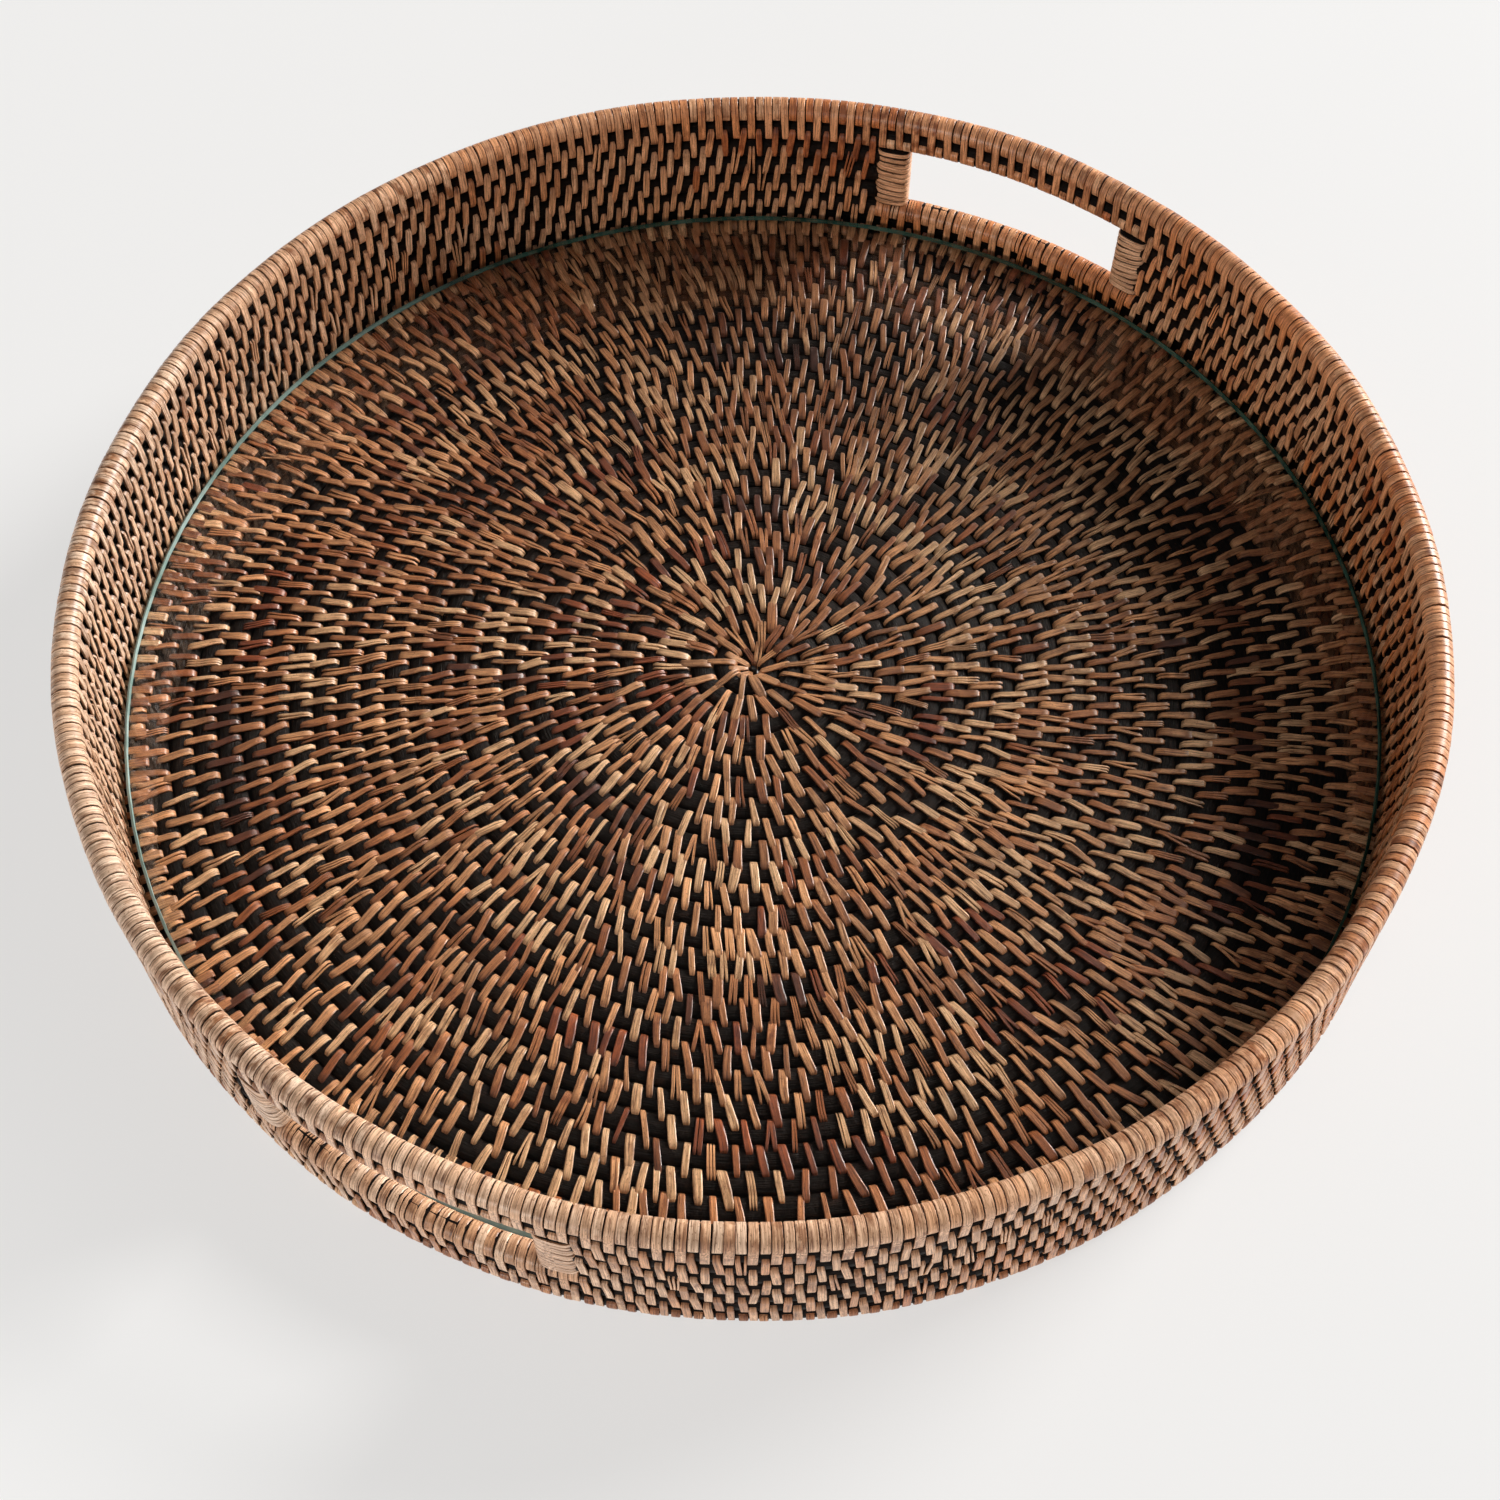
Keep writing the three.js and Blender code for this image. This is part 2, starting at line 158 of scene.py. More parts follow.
class Bundle:
    """Collects swept bands and turns them into one mesh."""

    def __init__(self):
        self.points, self.strip, self.tint, self.quads, self.caps = [], [], [], [], []
        self.cells = []
        self.count = 0

    def sweep(self, path, normal, width, thick, section, closed, ident, tint, mottle, rows=1):
        """Sweep a section along each path; path is (bands, steps, 3).

        normal, width (full) and thick are broadcast to the path.
        rows: how many rows of the texture sheet one band is folded into.
        """
        bands, steps, _ = path.shape
        sides = len(section)
        self.sides = sides
        normal = np.broadcast_to(normal, path.shape)
        width = np.broadcast_to(width, (bands, steps))
        thick = np.broadcast_to(thick, (bands, steps))
        if closed:
            tangent = np.roll(path, -1, 1) - np.roll(path, 1, 1)
        else:
            tangent = np.empty_like(path)
            tangent[:, 1:-1] = path[:, 2:] - path[:, :-2]
            tangent[:, 0] = path[:, 1] - path[:, 0]
            tangent[:, -1] = path[:, -1] - path[:, -2]
        side = unit(np.cross(unit(tangent), normal))
        points = warp(path[:, :, None, :]
                      + side[:, :, None, :]
                      * (section[None, None, :, 0:1] * width[:, :, None, None] / 2)
                      + normal[:, :, None, :]
                      * (section[None, None, :, 1:2] * thick[:, :, None, None]))

        # what the materials read: millimetres along and across, strip number, tint, mottle
        step = np.linalg.norm(np.diff(path, axis=1), axis=2)
        strip = np.empty((bands, steps, sides, 3))
        strip[..., 0] = np.concatenate([np.zeros((bands, 1)), np.cumsum(step, 1)], 1)[:, :, None]
        strip[..., 1] = section[None, None, :, 0] * width[:, :, None] / 2
        strip[..., 2] = ident[:, None, None]
        if tint.ndim == 2:
            tint = tint[:, None, :]
        colour = np.empty((bands, steps, sides, 4))
        colour[..., :3] = tint[:, :, None, :]
        colour[..., 3] = mottle[:, None, None]

        base = self.count + np.arange(bands)[:, None, None] * (steps * sides)
        segments = steps if closed else steps - 1
        i = np.arange(segments)[None, :, None]
        j = np.arange(sides)[None, None, :]
        i_next = (i + 1) % steps
        j_next = (j + 1) % sides
        quads = np.stack(np.broadcast_arrays(
            base + i * sides + j, base + i * sides + j_next,
            base + i_next * sides + j_next, base + i_next * sides + j), -1).reshape(-1, 4)

        # place on the texture sheet: cell number, and position in the cell
        per_row = int(math.ceil(segments / rows))
        u_start = (i % per_row) / per_row
        u_end = (i % per_row + 1) / per_row
        v_marks = SECTION_V if sides == STRIP_CORNERS else np.linspace(0, 1, sides + 1)
        v_start, v_end = v_marks[j], v_marks[j + 1]
        full = (bands, segments, sides)
        corners = ((u_start, v_start), (u_start, v_end), (u_end, v_end), (u_end, v_start))
        uv = np.stack([np.stack([np.broadcast_to(u, full), np.broadcast_to(v, full)], -1)
                       for u, v in corners], -2).reshape(-1, 4, 2)
        cell = np.arange(bands)[:, None, None] * rows + i // per_row
        cell = np.broadcast_to(cell, full).reshape(-1)

        # turn the faces outwards, judged by the signed volume of the first band
        first_quads = quads[:segments * sides] - self.count
        ring = points[0].reshape(-1, 3)
        ring = ring - ring.mean(0)
        c0, c1, c2, c3 = (ring[first_quads[:, k]] for k in range(4))
        volume = (np.einsum("ij,ij->i", c0, np.cross(c1, c2))
                  + np.einsum("ij,ij->i", c0, np.cross(c2, c3))).sum()
        flipped = volume < 0
        if flipped:
            quads = quads[:, ::-1]
            uv = uv[:, ::-1]
        self.quads.append(quads)
        self.cells.append((cell, uv, bands * rows))
        if not closed:
            for band in range(bands):
                start = self.count + band * steps * sides
                first = list(range(start, start + sides))
                last = list(range(start + (steps - 1) * sides, start + steps * sides))
                self.caps.append(first if flipped else first[::-1])
                self.caps.append(last[::-1] if flipped else last)
        self.points.append(points.reshape(-1, 3))
        self.strip.append(strip.reshape(-1, 3))
        self.tint.append(colour.reshape(-1, 4))
        self.count += bands * steps * sides

    def lay_out(self, mesh):
        """One rectangle of the texture sheet for each strip."""
        total = sum(used for _, _, used in self.cells)
        columns = max(1, int(round(math.sqrt(total / 3.6))))
        rows = int(math.ceil(total / columns))
        pad = 1.2 * TEXEL
        width, height = 1.0 / columns - 2 * pad, 1.0 / rows - 2 * pad
        uv = np.zeros((len(mesh.loops), 2), np.float32)
        at = first_cell = 0
        for cell, corner, used in self.cells:
            k = cell + first_cell
            left, bottom = (k % columns) / columns, (k // columns) / rows
            part = np.stack([left[:, None] + pad + corner[..., 0] * width,
                             bottom[:, None] + pad + corner[..., 1] * height], -1)
            uv[at:at + part.shape[0] * 4] = part.reshape(-1, 2)
            at += part.shape[0] * 4
            first_cell += used
        if at < len(uv):                         # cut ends: a tiny spot each
            k = np.arange(len(uv) - at)
            uv[at:, 0] = 0.3 * TEXEL + 0.4 * TEXEL * (k % 2)
            uv[at:, 1] = 0.3 * TEXEL + 0.4 * TEXEL * ((k // 2) % 2)
        mesh.uv_layers.new(name="OFBake").data.foreach_set("uv", uv.ravel())

    def build(self, name, material):
        points = np.concatenate(self.points) * MM
        quads = np.concatenate(self.quads).astype(np.int32)
        loops = quads.ravel()
        starts = np.arange(len(quads), dtype=np.int32) * 4
        if self.caps:
            sizes = np.array([len(cap) for cap in self.caps], np.int32)
            cap_starts = len(loops) + np.concatenate([[0], np.cumsum(sizes)[:-1]])
            loops = np.concatenate([loops, np.concatenate(self.caps)])
            starts = np.concatenate([starts, cap_starts])
        mesh = bpy.data.meshes.new(name)
        mesh.vertices.add(len(points))
        mesh.vertices.foreach_set("co", points.astype(np.float32).ravel())
        mesh.loops.add(len(loops))
        mesh.loops.foreach_set("vertex_index", loops.astype(np.int32))
        mesh.polygons.add(len(starts))
        mesh.polygons.foreach_set("loop_start", starts.astype(np.int32))
        mesh.update(calc_edges=True)
        mesh.validate()
        mesh.polygons.foreach_set("use_smooth", np.ones(len(mesh.polygons), bool))
        if self.sides == STRIP_CORNERS:
            ends = np.empty(len(mesh.edges) * 2, np.int32)
            mesh.edges.foreach_get("vertices", ends)
            ends = ends.reshape(-1, 2) % STRIP_CORNERS
            sharp = (ends[:, 0] == ends[:, 1]) & np.isin(ends[:, 0], SHARP_CORNERS)
            mesh.attributes.new("sharp_edge", "BOOLEAN", "EDGE").data.foreach_set("value", sharp)
        self.lay_out(mesh)
        strip = mesh.attributes.new("strip", "FLOAT_VECTOR", "POINT")
        strip.data.foreach_set("vector", np.concatenate(self.strip).astype(np.float32).ravel())
        tint = mesh.attributes.new("tint", "FLOAT_COLOR", "POINT")
        tint.data.foreach_set("color", np.concatenate(self.tint).astype(np.float32).ravel())
        mesh.update()
        ob = bpy.data.objects.new(name, mesh)
        bpy.context.scene.collection.objects.link(ob)
        mesh.materials.append(material)
        return ob


# -------------------------------------------------------------------- colours
# Dyed and lacquered split cane, from pale straw to dark red-brown.
BASE_TONES = np.array([srgb(240, 192, 148), srgb(212, 154, 109), srgb(182, 120, 78),
                       srgb(150, 88, 50), srgb(140, 72, 38), srgb(100, 54, 32)])
# painted light: the same cane as BASE_TONES, painted lighter for the walls, which stand in
# stronger light than the base
LIT_WALL_TONES = np.array([srgb(244, 194, 152), srgb(236, 178, 132), srgb(224, 158, 110),
                       srgb(204, 134, 84), srgb(182, 106, 60), srgb(138, 76, 44)])
PALE_TONES = np.array([srgb(252, 206, 168), srgb(246, 192, 150), srgb(235, 173, 126),
                       srgb(214, 148, 100), srgb(190, 120, 74), srgb(146, 86, 54)])
CANE_TINT = srgb(40, 26, 20)
CANE_MOTTLE = 0.3


def keep_hue(tone, top=0.92):
    """Scaled down where it is too bright, so that it does not turn yellow-green."""
    return np.maximum(tone * np.minimum(1.0, top / tone.max(-1, keepdims=True)), 0.004)


def run_tones(count, weights, runs=(3, 11), jitter=0.07, palette=BASE_TONES, strays=0.10):
    """Tone, mottle and strip number of each stitch.

    A strip of cane lasts for several stitches, so colours come in runs.
    weights: share of each palette tone; runs: shortest run and one over the longest.
    """
    tones = np.empty((count, 3))
    mottles = np.empty(count)
    idents = np.empty(count)
    share = np.array(weights, float)
    share /= share.sum()
    i = 0
    while i < count:
        length = int(rng.integers(*runs))
        tone = palette[rng.choice(len(palette), p=share)]
        tone = tone * (1 + rng.normal(0, 0.06))
        mottle = np.clip(rng.beta(1.3, 2.6) * 1.1, 0, 1)
        ident = rng.random() * 900
        used = min(length, count - i)
        tones[i:i + used] = tone * (1 + rng.normal(0, jitter, (used, 1)))
        mottles[i:i + used] = mottle
        idents[i:i + used] = ident + np.arange(used) * 1.7
        i += length
    # a stray stitch of another colour now and then
    stray = rng.random(count) < strays
    pick = palette[rng.choice(len(palette), size=count, p=share)]
    tones[stray] = pick[stray]
    return keep_hue(tones), mottles, idents


# Painted sheen: the side painted palest, where the lamp's sheen falls, and powers for the deep
# side, half way and the pale side
WALL_SHEEN_SIDE = math.radians(137.6)
WALL_POWERS = (1.01, 0.91, 0.58)
RIM_SHEEN_SIDE = math.radians(150)
RIM_POWERS = (1.30, 0.99, 0.62)


def sheen_painted_tone(tone, angle, powers=WALL_POWERS, side=WALL_SHEEN_SIDE, relight=0.24):
    """Painted light and shade: deeper orange on the side of the basket away from the lamp's
    sheen, and painted straw-pale as sheen on the side where it falls.

    relight: how much lighter it is painted again opposite the wall's pale side, as painted light.
    """
    pale = smooth01(0.5 + 0.5 * np.cos(angle - side)) ** 1.3
    middle = tone.mean(0, keepdims=True)
    tone = middle + (tone - middle) * (0.95 - 0.10 * pale[:, None])
    tone = keep_hue(tone, 0.97) ** np.interp(pale, [0, 0.42, 1], powers)[:, None]
    # painted light: lighter again on the side opposite the painted sheen
    light = smooth01(0.5 - 0.5 * np.cos(angle - WALL_SHEEN_SIDE))[:, None] ** 2
    return keep_hue(tone * (1 + relight * light))


# ------------------------------------------------------------ flat loop shapes
# A stitch lies in a plane with two axes: reach, from the older cane to the newer one,
# and depth, through the basket's thickness.  A loop is four (strips, steps) arrays:
# reach, depth, and the outward normal's reach and depth, of any length.
def stacked(points, count):
    """A loop for count strips from its points; values are scalars or columns."""
    return tuple(np.concatenate([np.broadcast_to(value, (count, 1)) for value in values], 1)
                 for values in zip(*points))


def mirrored(points):
    """The same points on the other face, in reverse order."""
    return [(reach, -depth, n_reach, -n_depth)
            for reach, depth, n_reach, n_depth in reversed(points)]


def arc(radius, degrees, centre=0.0):
    """Loop points round a cane whose middle is at reach = centre."""
    points = []
    for angle in map(math.radians, degrees):
        sine, cosine = math.sin(angle), math.cos(angle)
        points.append((centre + radius * sine, radius * cosine, sine, cosine))
    return points


def hook_loop(old, new, pitch, end_angle, dip, square=2.0):
    """Right round the older cane at reach 0, both ends passing into the newer one.

    old, new: cane radii; dip: sag between the canes; end_angle is a column.
    square: 2 for a round turn about the older cane, more for a boxier one.
    """
    end = pitch + new * np.sin(end_angle)

    def top(reach):
        over = np.clip(reach - pitch, 0, None)
        cap = np.sqrt(np.clip(new ** 2 - over ** 2, 0.05, None))
        part = np.clip(reach / np.maximum(pitch, 1e-6), 0, 1)
        line = old + (new - old) * part
        return np.where(reach > pitch, cap, line - dip * np.sin(np.pi * part))

    def on_top(reach):
        slope = (top(reach + 0.05) - top(reach - 0.05)) / 0.1
        return (reach, top(reach), -slope, 1.0)

    face = [(end - 0.10, new * 0.35, 0.98, 0.2),
            (end - 0.15, top(end) - 0.45, 0.86, 0.5),
            (end - 0.75, top(end - 0.75) + 0.02, 0.34, 0.94),
            on_top(end - 2.3),
            on_top(end * 0.42),
            (0.0, old, 0.0, 1.0)]
    turn = []
    for angle in map(math.radians, (32, 62, 90, 118, 148)):
        x = signed_power(math.sin(angle), 2 / square)
        y = signed_power(math.cos(angle), 2 / square)
        turn.append((-old * x, old * y, -x ** (square - 1), signed_power(y, square - 1)))
    return stacked(face + turn + mirrored(face), len(end))


# how wide a stitch is at each of the seventeen points of its hook loop
HOOK_WIDTHS = np.array([0.62, 0.72, 0.92, 1.0, 1.0, 0.98, 0.94, 0.86, 0.80,
                        0.86, 0.94, 0.98, 1.0, 1.0, 0.92, 0.72, 0.62])


def ring_loop(count, upper, lower, drop):
    """Right round a cane at reach 0 and, if drop is not 0, another one that far below."""
    over = arc(upper, np.linspace(0, 180, 7))
    under = np.linspace(180, 360, 7)
    if drop:
        between = [(-drop * 0.5, -(upper + lower) / 2, 0.0, -1.0)]
        points = over + between + arc(lower, under, -drop) + mirrored(between)
    else:
        points = over + arc(upper, under[1:-1])
    return stacked(points, count)


def stub_loop(radius, end_angle):
    """Round the lower half of one cane, both ends passing into it at +end_angle."""
    end = radius * np.sin(end_angle)
    half = radius * np.cos(end_angle)
    face = [(end - 0.1, half * 0.3, 0.98, 0.2),
            (end - 0.15, half - 0.4, 0.86, 0.5),
            (end - 0.8, np.sqrt(np.clip(radius ** 2 - (end - 0.8) ** 2, 0.05, None)), 0.3, 0.95)]
    return stacked(face + arc(radius, np.linspace(0, -180, 8)) + mirrored(face), len(end))


def split_strips(count, share):
    """Some strips are split lengthwise in two or three.

    Returns the source stitch, offset in widths, width factor and fan (widths per mm).
    """
    source, offset, factor, fan = [], [], [], []
    kinds = rng.random(count)
    for i in range(count):
        if kinds[i] < share * 0.78:
            cut = rng.uniform(0.30, 0.70)
            gap = rng.uniform(0.04, 0.10)
            narrow = rng.random() < 0.8
            spread = rng.uniform(-0.003, 0.006) if narrow else rng.uniform(0.005, 0.016)
            offset += [-(1 - cut) / 2 - gap / 2, cut / 2 + gap / 2]
            factor += [cut - gap / 2, 1 - cut - gap / 2]
            fan += [-spread, spread]
            source += [i] * 2
        elif kinds[i] < share:
            spread = rng.uniform(0.0, 0.005)
            offset += [-0.355, -0.01, 0.35]
            factor += [0.28, 0.31, 0.27]
            fan += [-spread, 0, spread]
            source += [i] * 3
        else:
            offset.append(0.0)
            factor.append(1.0)
            fan.append(0.0)
            source.append(i)
    column = [np.array(values)[:, None] for values in (offset, factor, fan)]
    return np.array(source), *column


# ---------------------------------------------------------------- placements
def wall_points(loop, angle, height, shift):
    """Stitch planes stand on the wall: reach is up, depth is outwards."""
    reach, depth, n_reach, n_depth = loop
    radius = WALL_RADIUS + depth
    turn = angle[:, None] + shift / radius
    points = np.stack([radius * np.cos(turn), radius * np.sin(turn), height + reach], -1)
    return points, unit(np.stack([n_depth * np.cos(turn), n_depth * np.sin(turn), n_reach], -1))


def base_points(loop, angle, old_radius, shift):
    """Stitch planes lie across the base: reach is outwards, depth is up."""
    reach, depth, n_reach, n_depth = loop
    radius = old_radius + reach
    turn = angle + shift / np.maximum(radius, 2.0)
    points = np.stack([radius * np.cos(turn), radius * np.sin(turn), BASE_Z + depth], -1)
    return points, unit(np.stack([n_reach * np.cos(turn), n_reach * np.sin(turn), n_depth], -1))


def tube(bundle, path, radius, normal, closed, ident, wide=1.0, tall=1.0, rows=1,
         square=2.0, half_width=None):
    """One cane along path (steps, 3), squeezed against its neighbours; normal is its tall way."""
    angle = np.arange(10) * 2 * math.pi / 10
    section = np.stack([signed_power(np.sin(angle), 2 / square) * 2 * wide,
                        signed_power(np.cos(angle), 2 / square) * tall], -1)
    bundle.sweep(path[None], normal, radius if half_width is None else half_width, radius,
                 section, closed, np.array([ident]), np.array([CANE_TINT]),
                 np.array([CANE_MOTTLE]), rows=rows)


# ================================================================ the base
SPIRAL_END = BASE_RADIUS + 1.4       # outer edge that the last turn tapers against
EYE_INNER = 0.35                     # inner radius of the pared start of the cane
EYE_OUTER = 3.5                      # its outer radius there
EYE_STITCHES = 9.6                   # stitches in the first turn
FULL_TURNS = (SPIRAL_END - EYE_OUTER) / BASE_PITCH    # the cane is full size up to here
TURNS = FULL_TURNS + 0.93
SPIRAL_START = math.radians(205)
BASE_LEAN = 0.13                     # sideways lean of a stitch, per length
SPACING_RADII = [0, 20, 60, 115, 170, 235]
SPACINGS = [4.6, 6.0, 6.9, 6.5, 6.9, 8.1]             # between stitches at those radii
BASE_PIECES = 5


def spiral_edges(turns):
    """Inner and outer edge of the base cane; both ends are pared."""
    turns = np.asarray(turns, float)
    outer = np.minimum(EYE_OUTER + BASE_PITCH * turns, SPIRAL_END)
    inner = np.where(turns < 1, EYE_INNER + (EYE_OUTER - EYE_INNER) * turns,
                     EYE_OUTER + BASE_PITCH * (turns - 1))
    return inner, outer


def spiral_radius(turns):
    """Centre radius of the base cane."""
    inner, outer = spiral_edges(turns)
    return (inner + outer) / 2


def spiral_half(turns):
    """Half thickness of the base cane."""
    inner, outer = spiral_edges(turns)
    return np.clip((outer - inner) / 2 - (BASE_PITCH / 2 - BASE_CANE), 0.4, BASE_CANE)


def spiral_angle(turns):
    return SPIRAL_START - 2 * math.pi * np.asarray(turns, float)


def base_stitch_turns():
    """Stitch places in turns along the coil.

    Each one comes up between two of the turn before, and extra ones are put in
    where the gap has grown too wide.
    """
    places = [0.02 + i / EYE_STITCHES for i in range(10)]
    limit = FULL_TURNS + 0.9
    i = 0
    while places[-1] < limit and i + 1 < len(places):
        place_ = 1.0 + (places[i] + places[i + 1]) / 2
        radius = float(spiral_radius(place_))
        place_ -= BASE_LEAN * BASE_PITCH / (2 * math.pi * radius)  # half-way between their ends
        i += 1
        if place_ <= places[-1]:
            continue
        spacing = float(np.interp(radius, SPACING_RADII, SPACINGS))
        gap = (place_ - places[-1]) * 2 * math.pi * radius
        if gap < spacing * 0.62:
            continue
        if gap > spacing * rng.uniform(1.18, 1.5):
            parts = 2 if gap < spacing * 2.4 else 3
            last = places[-1]
            for k in range(1, parts):
                places.append(last + (place_ - last) * k / parts)
        places.append(place_ + rng.normal(0, 0.045) * spacing / (2 * math.pi * radius))
    places = np.array(sorted(places))
    return places[places < limit]


def base_stitches():
    """The base's stitches, dealt out to pieces that each span the whole base."""
    turns = base_stitch_turns()
    count = len(turns)
    tone, mottle, ident = run_tones(count, [0.24, 0.38, 0.25, 0.09, 0.03, 0.01],
                                    runs=(3, 12), jitter=0.13, strays=0.16)
    source, offset, factor, fan = split_strips(count, 0.24)
    width = np.interp(spiral_radius(turns), [0, 60, 150, 235], [2.80, 2.80, 2.70, 2.80])
    width = (width * rng.normal(1.0, 0.16, count)).clip(1.7, 4.0)
    lean = rng.normal(BASE_LEAN, 0.10, count)
    bend = rng.normal(0, 0.22, count)
    taper = rng.normal(0.0, 0.07, count)
    end_angle = np.radians(rng.normal(-9, 12, count))
    rng.uniform(0.0, 0.10, count)        # not used: keeps the later draws in their places
    thick = rng.normal(BASE_STRIP, 0.05, count).clip(0.55, BASE_STRIP)
    width, lean, bend, taper, end_angle, thick, old_turns = (
        values[source][:, None] for values in (width, lean, bend, taper, end_angle, thick, turns))

    old_radius = spiral_radius(old_turns)
    pitch = np.maximum(spiral_radius(old_turns + 1) - old_radius, 3.0)
    loop = hook_loop(spiral_half(old_turns), spiral_half(np.minimum(old_turns + 1, TURNS + 0.05)),
                     pitch, end_angle, dip=0.16, square=3.3)
    reach = loop[0]
    from_middle = reach - pitch / 2
    band_width = width * factor * HOOK_WIDTHS * (1 + taper * from_middle / (pitch / 2))
    # everything is narrower at the eye
    room = 2 * math.pi * np.maximum(old_radius + reach, 0.8) / EYE_STITCHES * 0.92
    band_width = np.minimum(band_width, np.maximum(room, 0.9))
    shift = (offset * width + lean * from_middle + fan * width * (reach - 2.0) * 3
             + bend * np.cos(math.pi * from_middle / (pitch + 6)))
    angle = spiral_angle(old_turns)
    points, normals = base_points(loop, angle, old_radius, shift)

    # painted shade: darker where it passes into the newer cane; painted highlight: lighter round
    # the older one
    part = reach / pitch
    tuck_shade = 1 - np.array([0.42, 0.46, 0.50]) * smooth01((part - 0.25) / 1.05)[..., None]
    tip_highlight = 1 + 0.16 * smooth01((0.15 - part) / 0.5)[..., None]

    def towards(degrees, radius):
        return smooth01(old_radius / radius * np.cos(angle - math.radians(degrees)))[..., None]

    # painted shade and light: darker towards one edge of the base, lighter towards the opposite
    # one; painted redder near the darker edge, to offset the glass's pale reflection there
    light_drift = 1 - 0.30 * towards(5.0, 244.0) + 0.22 * towards(215.0, 210.0)
    redder = 1 - towards(40.0, 244.0) * np.array([0.0, 0.14, 0.22])
    shade = keep_hue(tone[source][:, None, :] * tuck_shade * tip_highlight * light_drift * redder)

    # each stitch goes to the piece that has the fewest strips so far
    held = [0] * BASE_PIECES
    piece = np.zeros(count, int)
    for i, strips in enumerate(np.bincount(source)):
        piece[i] = held.index(min(held))
        held[piece[i]] += int(strips)
    bundles = []
    for k in range(BASE_PIECES):
        mine = piece[source] == k
        bundle = Bundle()
        bundle.sweep(points[mine], normals[mine], band_width[mine], thick[mine], SECTION, True,
                     ident[source][mine], shade[mine], mottle[source][mine])
        bundles.append(bundle)
    return bundles


def base_cane():
    steps = []
    turns = 0.0
    while turns < TURNS:
        steps.append(turns)
        turns += 5.5 / (2 * math.pi * max(float(spiral_radius(turns)), 14.0))
    steps = np.array(steps + [TURNS])
    radius, angle = spiral_radius(steps), spiral_angle(steps)
    path = np.stack([radius * np.cos(angle), radius * np.sin(angle),
                     np.full_like(radius, BASE_Z)], -1)
    half = spiral_half(steps) * (1 + 0.012 * np.sin(steps * 60) + 0.01 * np.sin(steps * 143 + 1))
    inner, outer = spiral_edges(steps)
    bundle = Bundle()
    tube(bundle, path, half, np.array([0.0, 0.0, 1.0]), closed=False, ident=3.0, tall=0.96,
         rows=40, square=2.8, half_width=(outer - inner) / 2 + 0.24)
    # the pared start of the cane is turned down through the eye
    peg = np.linspace(BASE_Z - 0.8 * BASE_CANE, BASE_Z + 0.55 * BASE_CANE, 4)
    tube(bundle, np.stack([0 * peg, 0 * peg, peg], -1), np.array([1.7, 1.9, 1.8, 1.2]),
         np.array([1.0, 0.0, 0.0]), closed=False, ident=4.0)
    return bundle


# ================================================================ the wall
def off_handle(angle, handle):
    """Degrees from the middle of a hand hold."""
    return np.abs(np.degrees((angle - handle + math.pi) % (2 * math.pi) - math.pi))


def every_second(odd):
    """Angles of every second wrap place round the wall."""
    return (np.arange(0, RIM_WRAPS, 2) + odd) * WRAP_ANGLE


def jittered(angle, spread, row):
    """Angles with chance and a slow wander along the row, both in mm."""
    wander = 0.22 * np.sin(3 * angle + row) + 0.15 * np.sin(7 * angle + 2 * row)
    return angle + rng.normal(0, spread, len(angle)) / WALL_RADIUS + wander / WALL_RADIUS


def wall_row_stitches(bundle, row):
    """Stitches round wall row `row`, their ends passing into the row above."""
    angle = jittered(every_second(row % 2), 0.28, row)
    if row > 1:
        # rows 3 up are cut short of a hand hold; at row 2 the long sill wraps take over
        margin = 0.15 if row > 2 else -0.25
        nearest = np.minimum(*(off_handle(angle, handle) for handle in HANDLES))
        angle = angle[nearest > NOTCH + margin]
    count = len(angle)
    tone, mottle, ident = run_tones(count, [0.24, 0.36, 0.25, 0.10, 0.04, 0.01], runs=(3, 12),
                                    jitter=0.12, palette=LIT_WALL_TONES, strays=0.14)
    source, offset, factor, fan = split_strips(count, 0.10)
    tone = sheen_painted_tone(tone, angle)
    width = rng.normal(3.5, 0.22, count).clip(2.7, 4.0)[source][:, None]
    lean = rng.normal(-0.055, 0.05, count)[source][:, None]
    end_angle = np.radians(rng.normal(22, 6, count))[source][:, None]
    thick = WALL_STRIP * rng.normal(1, 0.05, count).clip(0.85, 1.0)[source][:, None]
    loop = hook_loop(WALL_CANE, WALL_CANE, ROW_HEIGHT, end_angle, dip=0.12)
    reach, depth = loop[:2]
    inside = depth < 0
    band_width = width * factor * np.where(inside, 0.78 * HOOK_WIDTHS,
                                           0.81 * np.maximum(HOOK_WIDTHS, 0.88))
    narrowed = 1 - 0.26 * smooth01((1.5 - reach) / (WALL_CANE + 1.5))
    band_width *= np.where(inside, narrowed, 1.0)
    shift = (offset * width + (lean - np.where(inside, 0.03, -0.015)) * (reach - ROW_HEIGHT * 0.5)
             + fan * width * (reach - 2.0) * 3)
    points, normals = wall_points(loop, angle[source], row_z(row), shift)
    # painted shade: darker where it passes into the row above; the 1.08 below is painted light,
    # making the whole wall lighter
    tuck_shade = smooth01((reach / ROW_HEIGHT - 0.35) / 1.0)[..., None]
    tuck_shade = 1 - np.array([0.36, 0.42, 0.46]) * tuck_shade
    bundle.sweep(points, normals, band_width, thick, SECTION, True, ident[source],
                 tone[source][:, None, :] * tuck_shade * 1.08, mottle[source])


def wall_stitches():
    """Upper, middle and lower pieces of two rows each."""
    bundles = [Bundle(), Bundle(), Bundle()]
    for row in range(6, 0, -1):
        wall_row_stitches(bundles[(6 - row) // 2], row)
    return bundles


